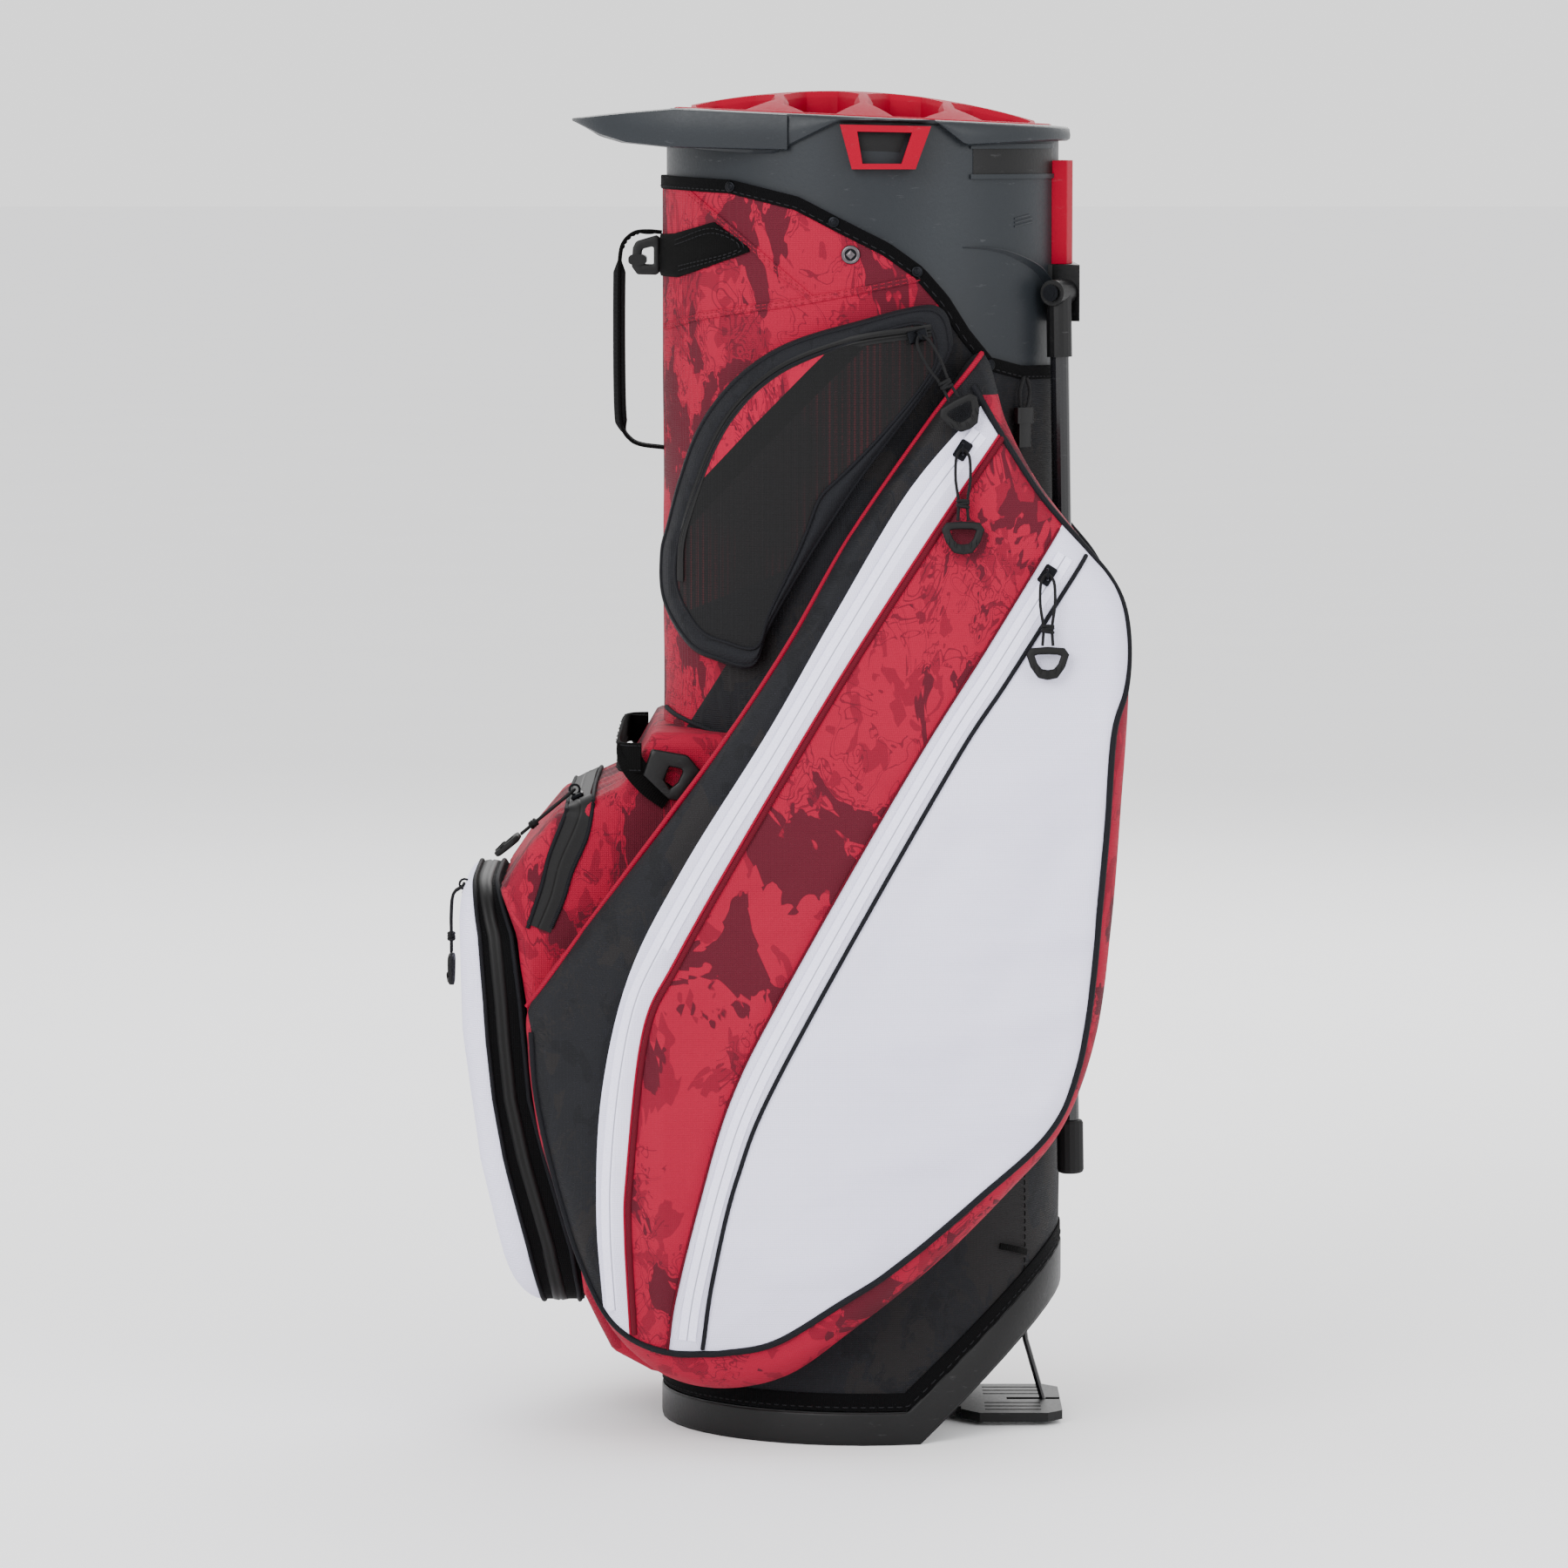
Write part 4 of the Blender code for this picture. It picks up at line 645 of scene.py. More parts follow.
RED_CAMO = red_camo_cloth()
BODY_CLOTH = body_cloth()
SIDE_CLOTH = side_pocket_cloth()
MESH_CLOTH = mesh_pocket_cloth()
BALL_CLOTH = ball_pocket_cloth()
BLACK_WEB = webbing("black_webbing_weave", rgb(7, 7, 7), rgb(3, 3, 3))
BINDING = webbing("binding_tape", rgb(6, 6, 7), rgb(2, 2, 3), 0.0011)
DARK_PIPING = piping_cloth("dark_piping", rgb(18, 19, 24), rgb(9, 9, 13))
# red and maroon piping: beside each other on the first stripe's far edge they are the painted lit edge and
# painted shade of one red piping
RED_PIPING = piping_cloth("red_piping", rgb(156, 0, 42), rgb(112, 0, 30))
MAROON_PIPING = piping_cloth("maroon_piping", rgb(96, 0, 24), rgb(66, 2, 18))
WHITE_ZIP = zip_tape("white_zip_tape", WHITE, WHITE_SHADE, rgb(150, 150, 166), 0.0004)
BLACK_ZIP = zip_tape("black_zip_tape", rgb(11, 11, 12), rgb(6, 6, 7), rgb(2, 2, 2))
GREY_MOULD = moulded("slate_moulding", rgb(31, 35, 39), rgb(26, 29, 33), 0.42)
BLACK_MOULD = moulded("black_moulding", rgb(12, 12, 13), rgb(8, 8, 9), 0.42)
RED_MOULD = moulded("red_moulding", rgb(146, 0, 34), rgb(130, 0, 29), 0.6, specular=0.06)
LEG_ENAMEL = moulded("leg_enamel", rgb(14, 14, 16), rgb(20, 20, 23), 0.24, 900.0, 0.00003, coat=0.6)
DARK_STEEL = metal("dark_steel", rgb(30, 31, 34), 0.34)
SILVER = metal("eyelet_silver", rgb(96, 90, 94), 0.3)
GRIP_RUBBER = rubber("grip_rubber", rgb(9, 9, 10), rgb(5, 5, 6))
CORD_BRAID = braid("cord_braid", rgb(5, 5, 6), rgb(18, 18, 20))
THREAD = piping_cloth("stitch_thread", rgb(30, 30, 33), rgb(16, 16, 18))
RED_THREAD = piping_cloth("red_stitch_thread", rgb(150, 20, 44), rgb(96, 16, 32))
PAD_CLOTH = padded_cloth("spacer_mesh", rgb(14, 14, 16), rgb(4, 4, 5))
DIVIDER_CLOTH = divider_cloth()


# ---------------------------------------------------------------- small repeated things

def piping(name, path, outward, radius=0.0016, finish=None, closed=False, slot="white_fabric"):
    """A cord wrapped in cloth that lies in a seam: a circle carried along the path."""
    return piece(name, [bar(path, ring(radius, 8), outward, closed)], [finish or DARK_PIPING], slot=slot)


def stitch_skins(path, outward, length=0.0026, gap=0.0018, thick=0.00042, finish=1):
    """Stitches along a path: short flat ovals that dip into the cloth at both ends."""
    path = np.asarray(path, float)
    outward = np.broadcast_to(np.asarray(outward, float), path.shape)
    total = np.linalg.norm(np.diff(path, axis=0), axis=1).sum()
    count = max(1, int(total / (length + gap)))
    fine = along(np.hstack([path, outward]), count * 5)
    runs = []
    for k in range(count):
        part = fine[5 * k:5 * k + 4]
        dip = np.array([-0.8, 0.35, 0.35, -0.8])[:, None] * thick
        runs.append(bar(part[:, :3] + part[:, 3:] * dip, ring(thick, 5), part[:, 3:], finish=finish))
    return runs


def zip_line(name, path, outward, width, finish, slot, rise=1.0):
    """A coated zip on a path: two lips carried along it with a groove between them."""
    w = width / 2
    section = np.array([(-w, -0.4), (-w, 0.25), (-0.35 * w, 0.55), (-0.0013, 0.95), (-0.0005, 0.75),
                        (0.0, 0.1), (0.0005, 0.75), (0.0013, 0.95), (0.35 * w, 0.55), (w, 0.25), (w, -0.4)])
    section[:, 1] *= MM * rise
    return piece(name, [bar(path, section, outward, across=section[:, 0][None, :])], [finish], slot=slot,
                 crease=80)


# ---------------------------------------------------------------- cuff and divider top

SLEEVE_X, SLEEVE_Y = HALF_X - WALL - 0.0003, HALF_Y - WALL - 0.0003
CUFF_WALL = 0.0035
BAND_X, BAND_Y, BAND_SHIFT = HALF_X + 0.001, HALF_Y + 0.0025, 0.004
# lower edge of the band round the cuff's top, as (x, z): it rises over the grips
BAND_EDGE = [
    (-0.145, 0.849), (-0.125, 0.849), (-0.0739, 0.8453), (-0.0582, 0.8455), (-0.018, 0.8652), (0.045, 0.8658),
    (0.0655, 0.85), (0.1238, 0.853), (0.145, 0.853)]
LIP_OUTER = [
    (-0.05, 0.112), (-0.085, 0.1045), (-0.128, 0.0925), (-0.165, 0.072), (-0.184, 0.05), (-0.191, 0.026),
    (-0.1915, 0.0)]
LIP_INNER = [
    (-0.05, 0.099), (-0.085, 0.088), (-0.126, 0.058), (-0.15, 0.05), (-0.169, 0.045), (-0.173, 0.024),
    (-0.173, 0.0)]
LIP_TOP = [(-0.1915, 0.868), (-0.1553, 0.8716), (-0.1237, 0.8741), (-0.05, 0.8706)]
LIP_FOOT = [(-0.1915, 0.8656), (-0.1725, 0.8567), (-0.1559, 0.8516), (-0.1266, 0.8487), (-0.05, 0.847)]
DOME_RISE = 0.0172
CELL_EDGES = (-0.113, -0.055, 0.0, 0.055, 0.113)


def band_top(x):
    """Height of the cuff's top face."""
    return 0.8683 - 0.0457 * x


def profile(x, table):
    """The value at x of a table of (x, value)."""
    return np.interp(x, *np.asarray(table).T)


def on_sleeve(x, z, side, lift=0.0):
    """Places on one side of the cuff's sleeve, raised by a lift."""
    y = (SLEEVE_Y + lift) * np.sqrt(1 - (x / (SLEEVE_X + lift)) ** 2)
    return np.stack([x, side * y, z + 0 * x], axis=1)


def sleeve_wall(x, rows, side):
    """A low wall on the sleeve from its rows of (height, lift)."""
    return skin(np.stack([on_sleeve(x, z, side, lift) for z, lift in rows], axis=1), around=True)


def oval_rows(rows, count=240):
    """Rings round the body from rows of (half along x, half along y, shift, level as a function of x,
    rise)."""
    turn = turns(count)
    rings = []
    for half_x, half_y, shift, level, rise in rows:
        x = half_x * np.cos(turn) + shift
        rings.append(np.stack([x, half_y * np.sin(turn), level(x) + rise], axis=1))
    return np.stack(rings)


def cuff():
    """The moulded cuff: a smooth sleeve, a band round its top whose lower edge rises over the grips, a bead
    on its rim, the front lip as a bar of changing section, and the ribs that stiffen its back."""
    inner_x, inner_y = SLEEVE_X - CUFF_WALL, SLEEVE_Y - CUFF_WALL
    def ground(x):
        return 0 * x

    def edge(x):
        return profile(x, BAND_EDGE)

    def between(x):
        return 0.6 * edge(x) + 0.4 * band_top(x)

    sleeve = oval_rows([(SLEEVE_X, SLEEVE_Y, 0, ground, z) for z in (0.6625, 0.7, 0.74, 0.78, 0.82, 0.85)]
                       + [(SLEEVE_X, SLEEVE_Y, 0, band_top, -0.003), (inner_x, inner_y, 0, band_top, -0.003),
                          (inner_x, inner_y, 0, ground, 0.6625)])
    band = oval_rows([(SLEEVE_X - 0.0005, SLEEVE_Y - 0.0005, 0, edge, 0.0006),
                      (BAND_X - 0.0016, BAND_Y - 0.0022, BAND_SHIFT * 0.8, edge, -0.0002),
                      (BAND_X - 0.0003, BAND_Y - 0.0004, BAND_SHIFT, edge, 0.001),
                      (BAND_X, BAND_Y, BAND_SHIFT, between, 0.0),
                      (BAND_X - 0.0006, BAND_Y - 0.0006, BAND_SHIFT, band_top, -0.0016),
                      (BAND_X - 0.002, BAND_Y - 0.002, BAND_SHIFT, band_top, -0.0002),
                      (inner_x + 0.001, inner_y + 0.001, 0, band_top, 0.0004),
                      (inner_x, inner_y, 0, band_top, -0.0006), (inner_x, inner_y, 0, band_top, -0.012)])
    outer, inner = spread(mirrored(LIP_OUTER), 160), spread(mirrored(LIP_INNER), 160)
    into = unit(inner - outer)
    top, foot = profile(outer[:, 0], LIP_TOP), profile(outer[:, 0], LIP_FOOT)
    top_in, foot_in = np.maximum(profile(inner[:, 0], LIP_TOP), top), profile(inner[:, 0], LIP_FOOT)
    soft = np.minimum(0.0025, 0.4 * (top - foot))
    lip = np.stack([np.hstack([start + into * (inset * soft)[:, None], (level + drop * soft)[:, None]])
                    for start, inset, level, drop in (
                        (outer, 0.0, foot, 1.0), (outer, 0.0, top, -1.0), (outer, 0.3, top, -0.3),
                        (outer, 1.2, top, 0.0), (inner, -1.2, top_in, 0.0), (inner, -0.3, top_in, -0.3),
                        (inner, 0.0, top_in, -1.0), (inner, 0.0, foot_in, 1.0), (inner, -0.3, foot_in, 0.3),
                        (inner, -1.2, foot_in, 0.0), (outer, 1.2, foot, 0.0), (outer, 0.3, foot, 0.3))],
                        axis=1)
    skins = [skin(sleeve, around=True, tube=True), skin(band, around=True, tube=True), skin(lip, around=True)]
    piece("cuff_moulding", skins, [GREY_MOULD], slot="grey_plastic", replaces=("top_cuff",), crease=42)

    flare = spread([(0.064, 0.7845), (0.08, 0.784), (0.0955, 0.7805), (0.1125, 0.7715), (0.1215, 0.76)], 50)
    flare_section = np.array([(-0.001, -0.6), (-0.0008, 1.0), (0.0002, 1.15), (0.0012, 0.9), (0.006, -0.4)])
    ribs, recess = [], []
    for side in (LEFT, RIGHT):
        ribs.append(bar(on_sleeve(*flare.T, side), flare_section * (1, 0.004),
                        oval_out(flare[:, 0], side), size=0.15 + 0.85 * np.linspace(0, 1, 50)))
        for z, long in ((0.8025, 0.01), (0.8, 0.012), (0.7975, 0.012)):
            x = np.linspace(0.098, 0.098 + long, 8)
            ribs.append(bar(on_sleeve(x, z + 0.25 * (x - 0.098), side), ring(0.0007, 8), oval_out(x, side)))
        for walls, start, end, low, high, proud in ((ribs, 0.069, 0.1255, 0.8285, 0.8315, 0.0016),
                                                    (ribs, 0.069, 0.1255, 0.848, 0.8512, 0.0016),
                                                    (recess, 0.0705, 0.125, 0.8316, 0.848, 0.0004)):
            rows = ((low, -0.001), (low, proud), (high, proud), (high, -0.001))
            walls.append(sleeve_wall(np.linspace(start, end, 30), rows, side))
    piece("cuff_ribs", ribs, [GREY_MOULD], slot="grey_plastic", crease=42)
    piece("cuff_recess", recess, [BLACK_MOULD], slot="grey_plastic")


def dome_height(x, y):
    """Height of the divider top's dome."""
    share = (x / 0.1259) ** 2 + (y / 0.1114) ** 2
    return band_top(x) + DOME_RISE * (1 - share) - 0.0003


def divider_frames():
    """The divider top: eight moulded frames side by side on the dome. Each is carried round its opening: a
    flat ridge on its outer edge, a bevel down to an opening with cut corners, and the walls of the
    opening."""
    frames = []
    for near, far in zip(CELL_EDGES, CELL_EDGES[1:]):
        for side in (LEFT, RIGHT):
            arc_x = np.linspace(far, near, 24)
            arc_y = 0.1105 * np.sqrt(1 - (arc_x / 0.125) ** 2)
            arc = np.stack([arc_x, arc_y], axis=1)
            outline = np.vstack([[(near, 0.0002), (far, 0.0002)], arc, [(near, 0.0002)]])
            outline = along(outline, 96, closed=True)
            middle = np.array([0.5 * (near + far), 0.48 * arc_y.mean()])
            arms = outline - middle
            reach = np.linalg.norm(arms, axis=1)
            way = arms / reach[:, None]
            half_x, half_y = 0.5 * (far - near) - 0.0055, 0.5 * arc_y.mean() - 0.006
            cut = 1.42 / (np.abs(way[:, 0]) / half_x + np.abs(way[:, 1]) / half_y)
            hole = np.minimum(reach - 0.0062, cut)
            rows = []
            ridge = 0.5 * (reach + np.minimum(reach - 0.0028, hole + 0.0034))
            bevel = np.minimum(reach - 0.0024, hole + 0.003)
            for distance, drop in ((reach, 0.0), (ridge, 0.0), (bevel, 0.0004), (hole + 0.0006, 0.0034),
                                   (hole, 0.0044), (hole, 0.0185), (reach - 0.0004, 0.0185)):
                x, y = (middle + way * distance[:, None]).T
                rows.append(np.stack([x, side * y, dome_height(x, y) - drop], axis=1))
            frames.append(skin(np.stack(rows), around=True, tube=True))
    turn = turns(200)
    x, y = 0.1222 * np.cos(turn), 0.1078 * np.sin(turn)
    path = np.stack([x, y, dome_height(x, y) - 0.0018], axis=1)
    frames.append(bar(path, ring(0.0036, 14, 0.7), (0.0, 0.0, 1.0), closed=True))
    piece("divider_frames", frames, [RED_MOULD], slot="red_plastic", replaces=("divider_top",), crease=35)


# ---------------------------------------------------------------- body

def top_edge(x):
    """Height of the shell's top edge at x."""
    return profile(x, TOP_EDGE)


def foot_edge(x):
    """Height of the shell's lower edge at x: level, then rising with the heel."""
    return RIM_HEIGHT + 0.0006 + np.maximum(0, x - HEEL_START) * HEEL_RISE


def body_relief(x, y, z):
    """Slack of the body's cloth, in metres: low slanting folds that fade out at its top and foot."""
    fade = np.clip((z - 0.1) / 0.1, 0, 1) * np.clip((0.72 - z) / 0.1, 0, 1)
    return 0.001 * fade * np.sin(26 * z + 18 * x + 9 * y) * np.sin(11 * z - 14 * x + 1.3)


def round_body(turn, lift=0.0):
    """x and y of places round the body, raised by a lift, and their outward directions."""
    x, y = (HALF_X + lift) * np.cos(turn), (HALF_Y + lift) * np.sin(turn)
    return x, y, unit(np.stack([x / HALF_X ** 2, y / HALF_Y ** 2, 0 * x], axis=-1))


def body():
    """The cloth tube: an oval whose top follows the cuff's edge and whose foot stands on the base's rim."""
    x, y, out = round_body(turns(200))
    z = foot_edge(x) + np.linspace(0, 1, 120)[:, None] * (top_edge(x) - foot_edge(x))
    outer = np.stack([x + 0 * z, y + 0 * z, z], axis=-1)
    inner = outer[::-1] - out * WALL
    outer = outer + out * body_relief(x, y, z)[..., None]
    piece("body_cloth_tube", [skin(np.concatenate([outer, inner]), around=True, tube=True)], [BODY_CLOTH],
          slot="red_camo_fabric", replaces=("body_shell",))


def oval_path(lift, height):
    """A closed path round the body at a height given by x."""
    x, y, out = round_body(turns(220), lift)
    return np.stack([x, y, height(x)], axis=1), out


def bindings():
    """Black tape folded over the cloth's top edge, and the one above the base, each with a row of
    stitches."""
    for name, height, width in (("top_binding", lambda x: top_edge(x) - 0.0035, 0.009),
                                ("foot_binding", lambda x: foot_edge(x) + 0.0062, 0.0115)):
        path, out = oval_path(0.0003, height)
        tape = bar(path, strap_section(width, 0.0016), out, closed=True)
        line = oval_path(0.0011, lambda x, h=height, w=width: h(x) - 0.3 * w)
        stitches = stitch_skins(*(np.vstack([run, run[:1]]) for run in line), 0.0032, 0.0022)
        piece(name, [tape] + stitches, [BINDING, THREAD], slot="black_webbing")


def base_wall():
    """The base's outer wall: an oval band, level in front and slanting up under the heel, its edges
    rounded."""
    def foot(x):
        return np.maximum(0, x - HEEL_FOOT) * HEEL_RISE

    def top(x):
        return foot_edge(x) - 0.001

    wall = oval_rows([(HALF_X + lift, HALF_Y + lift, 0, level, rise) for lift, level, rise in (
        (-0.0014, foot, 0.0001), (0.0004, foot, 0.0003), (0.0014, foot, 0.0012), (0.0016, foot, 0.003),
        (0.0016, top, -0.0018), (0.0013, top, -0.0006), (0.0002, top, 0.0), (-0.0014, top, 0.0))])
    piece("base_rim_wall", [skin(wall, around=True, tube=True)], [BLACK_MOULD], slot="black_plastic",
          crease=60)


def dome_skin(centre, out, radius, rise, hole=0.0):
    """A turned button: rings from its rim to its middle, each ring's height a share of a quarter circle."""
    out = unit(np.asarray(out, float))
    side = unit(np.cross(out, (0.0, 0.0, 1.0)))
    up = np.cross(side, out)
    turn = turns(20)
    reach = np.array([1.0, 1.0, 0.93, 0.75, 0.45, max(hole, 0.02)])
    height = np.array([-1.0, 0.35, 0.72, 0.95, 1.0, 1.0 if not hole else -0.2])
    circle = side * np.cos(turn)[:, None] + up * np.sin(turn)[:, None]
    rings = radius * reach[:, None, None] * circle + rise * height[:, None, None] * out
    return skin(np.asarray(centre) + rings, around=True)


def rivets_and_eyelets():
    """Black rivets through the top binding, and a silver eyelet with a diamond in its middle on each side."""
    buttons = []
    for side in (LEFT, RIGHT):
        for x, z in ((-0.087, 0.8235), (-0.02, 0.801), (0.034, 0.769), (0.082, 0.708)):
            place = np.array([x])
            out = oval_out(place, side)[0]
            buttons.append(dome_skin(on_oval(place, z, side, 0.001)[0], out, 0.0038, 0.0012))
            buttons.append(dome_skin(on_oval(place, z, side, 0.0021)[0], out, 0.0022, 0.0009))
    piece("binding_rivets", buttons, [DARK_STEEL], slot="black_plastic")
    for name, side in SIDES:
        place = np.array([-0.009])
        out = oval_out(place, side)[0]
        centre = on_oval(place, 0.78, side, 0.0004)[0]
        across = unit(np.cross(out, (0.0, 0.0, 1.0)))
        turn = turns(32)
        up = np.array([0, 0, 1])
        path = centre + 0.0048 * (across * np.cos(turn)[:, None] + up * np.sin(turn)[:, None])
        rim = bar(path, ring(0.0014, 10, 0.8), out, closed=True)
        corners = np.array([(1, 0), (0, 1), (-1, 0), (0, -1)])[::-1] * 0.003
        diamond = [centre + out * lift + grow * (across * corners[:, :1] + up * corners[:, 1:])
                   for lift, grow in ((-0.0005, 1.0), (0.0011, 1.0), (0.0016, 0.7))]
        plate = dome_skin(centre, out, 0.0046, 0.0004)
        plate["finish"] = 1
        piece(f"eyelet_{name}", [rim, plate, skin(diamond, around=True)], [SILVER, DARK_STEEL], slot="steel")


def body_seams():
    """Lapped seams of the upper panel: a narrow fold of the same cloth with a row of stitches beside it."""
    for name, side in SIDES:
        skins = []
        for points in (((-0.114, 0.819), (-0.075, 0.786), (-0.034, 0.751)),
                       ((-0.131, 0.731), (-0.101, 0.74), (-0.034, 0.751), (0.037, 0.765))):
            flat = spread(points, 60)
            path, out = oval_run(flat, side, 0.0003)
            skins.append(bar(path, strap_section(0.0046, 0.0012, 12), out))
            for shift in (-0.0011, 0.0013):
                line = path + out * 0.0006 + np.array([0, 0, shift])
                skins += stitch_skins(line, out, 0.0026, 0.0016, 0.00036)
        piece(f"upper_seams_{name}", skins, [RED_CAMO, RED_THREAD], slot="red_camo_fabric")


# ---------------------------------------------------------------- side pockets

def polar(outline, centre, count):
    """An outline as evenly spaced places, their direction from the centre and how far out they are."""
    places = spread(outline, count, closed=True)
    arms = places - np.asarray(centre)
    reach = np.linalg.norm(arms, axis=1)
    return arms / reach[:, None], reach


def inward(x, z, outline, centre):
    """How far places lie inside an outline, measured towards its centre."""
    direction, reach = polar(outline, centre, 400)
    angle = np.arctan2(direction[:, 1], direction[:, 0])
    order = np.argsort(angle)
    dx, dz = x - centre[0], z - centre[1]
    return np.interp(np.arctan2(dz, dx), angle[order], reach[order], period=2 * math.pi) - np.hypot(dx, dz)


def from_centre(centre, direction, distance):
    """x and z of places at distances from a centre."""
    return centre[0] + distance * direction[:, 0], centre[1] + distance * direction[:, 1]


def rings_of(reach, edge, walls, bends, faces):
    """Distances from the centre and shares of the wall's height, ring by ring: up the wall, round the edge
    as a quarter circle and across the face."""
    turn = np.linspace(0, math.pi / 2, bends + 1)[1:, None]
    across = np.linspace(1, 0, faces + 1)[1:, None] ** 1.15
    distance = np.vstack([np.repeat(reach[None], walls, 0), reach - edge * (1 - np.cos(turn)),
                          (reach - edge) * across])
    return distance, np.linspace(0, 1, walls)


def side_depth(x, z):
    """Half-width of the flat face of a side pocket."""
    return (SIDE_DEPTH - SIDE_SLOPE * np.maximum(0, z - 0.45) - 0.25 * np.maximum(0, 0.14 - z)
            - 0.42 * np.maximum(0, -0.13 - x))


# slack in the white panel: ridges as (from, to, width, height)
SIDE_FOLDS = [
    ((0.15, 0.3), (0.02, 0.27), 0.016, 0.0032), ((0.155, 0.345), (0.06, 0.33), 0.012, 0.0026),
    ((0.12, 0.235), (0.000, 0.19), 0.018, 0.003), ((0.16, 0.48), (0.08, 0.43), 0.02, 0.0024),
    ((0.000, 0.13), (-0.06, 0.12), 0.016, 0.0028), ((0.06, 0.4), (-0.01, 0.3), 0.022, -0.0024),
    ((0.13, 0.4), (0.06, 0.25), 0.02, -0.0022)]


def side_relief(x, z):
    """The pocket's puff between its seams and the slack in its big panel."""
    lift = np.zeros(np.shape(x))
    for line in SIDE_SEAMS:
        lift = lift - 0.0016 * np.exp(-(line_distance(x, z, lengthened(spread(line, 40))) / 0.0055) ** 2)
    for start, end, width, height in SIDE_FOLDS:
        a, step = np.array(start), np.array(end) - np.array(start)
        share = ((x - a[0]) * step[0] + (z - a[1]) * step[1]) / np.dot(step, step)
        nearest = np.clip(share, 0, 1)
        gap = np.hypot(x - a[0] - nearest * step[0], z - a[1] - nearest * step[1])
        lift = lift + 1.7 * height * np.exp(-(gap / (0.75 * width)) ** 2) * (1 - 0.6 * nearest)
    return lift


def side_face(x, z):
    """Half-width of a side pocket at (x, z), with its rounded edge."""
    short = np.clip(1 - inward(x, z, SIDE_OUTLINE, SIDE_CENTRE) / SIDE_EDGE, 0, 1)
    face = side_depth(x, z) - SIDE_EDGE * (1 - np.sqrt(1 - short ** 2))
    return face + side_relief(x, z) * (1 - short)


def panel_place(x, z):
    """Which panel a place is in: it passes a whole number at each seam."""
    past = [-line_distance(x, z, lengthened(spread(line, 60)[::-1])) for line in SIDE_SEAMS]
    return sum(0.5 + 0.5 * np.clip(distance / 0.007, -1, 1) for distance in past) - 0.5


def on_side(x, z, side, lift=0.0):
    """Places on a side pocket's cloth, raised by a lift."""
    return np.stack([x, side * (side_face(x, z) + lift), z], axis=-1)


def side_pocket(name, side):
    """The big pocket: its outline carried out to the face, round the edge and in to the middle."""
    direction, reach = polar(SIDE_OUTLINE, SIDE_CENTRE, 400)
    distance, wall = rings_of(reach, SIDE_EDGE, 8, 12, 66)
    x, z = from_centre(SIDE_CENTRE, direction, distance)
    face, walls = side_face(x, z), len(wall)
    face[:walls] = SIDE_INNER + (face[:walls] - SIDE_INNER) * wall[:, None]
    grid = np.stack([x, side * face, z], axis=-1)
    face_edge = np.vstack([spread(FACE_OUTLINE, 220), spread(DARK_SEAM[::-1], 160)])
    inside = line_distance(x, z, face_edge, closed=True)
    inside = inside * np.sign(line_distance(0.0, 0.35, face_edge, closed=True))
    inside[:walls] = -0.01
    piece(f"side_pocket_cloth_{name}", [skin(grid, around=True, panel=panel_place(x, z), inside=inside)],
          [SIDE_CLOTH], slot="white_fabric", replaces=(f"side_pocket_{name}",), crease=89)

    outward = (0.0, float(side), 0.0)
    rim = spread(FACE_OUTLINE, 260)
    piping(f"side_outline_piping_{name}", on_side(*rim.T, side, 0.0006), outward, 0.0022)
    # on the first stripe's far edge a thin red piping and a wider maroon one beside it are the painted lit
    # edge and painted shade of one red piping
    for label, line, finish, radius, shift in (("red", DARK_SEAM, RED_PIPING, 0.0018, 0.0),
                                               ("first_lit_red", FIRST_FAR, RED_PIPING, 0.001, 0.001),
                                               ("first_shaded_maroon", FIRST_FAR, MAROON_PIPING, 0.0019, 0.0036),
                                               ("second", SECOND_FAR, DARK_PIPING, 0.0015, 0.0),
                                               ("stripe", SECOND_NEAR, MAROON_PIPING, 0.0008, -0.0006)):
        flat = spread(line, 170)
        ahead = unit(np.gradient(flat, axis=0))
        flat = flat + shift * np.stack([-ahead[:, 1], ahead[:, 0]], axis=1)
        piping(f"side_{label}_piping_{name}", on_side(*flat.T, side, 0.0008), outward, radius, finish)
    for label, near, far in (("upper", FIRST_NEAR, FIRST_FAR), ("lower", SECOND_NEAR, SECOND_FAR)):
        flat = 0.5 * (spread(near, 180) + spread(far, 180))[3:-2]
        zip_line(f"zip_{label}_tape_{name}", on_side(*flat.T, side, 0.0003), outward, 0.011,
                 WHITE_ZIP, "white_fabric", 0.25)


# ---------------------------------------------------------------- mesh pockets

def mesh_lift(x, z):
    """Height of a mesh pocket over the body's oval: full inside, round at its edge, pinched at its band."""
    inside = inward(x, z, MESH_OUTLINE, MESH_CENTRE)
    short = np.clip(1 - inside / MESH_EDGE, 0, 1)
    lift = MESH_DEPTH - MESH_EDGE * (1 - np.sqrt(1 - short ** 2))
    return lift - 0.0012 * np.exp(-((inside - MESH_BAND) / 0.003) ** 2)


def on_mesh(x, z, side, lift=0.0):
    """Places on a mesh pocket's cloth, raised by a lift."""
    raised = mesh_lift(x, z) + lift
    return np.stack([x, side * oval_y(x, raised), z], axis=-1)


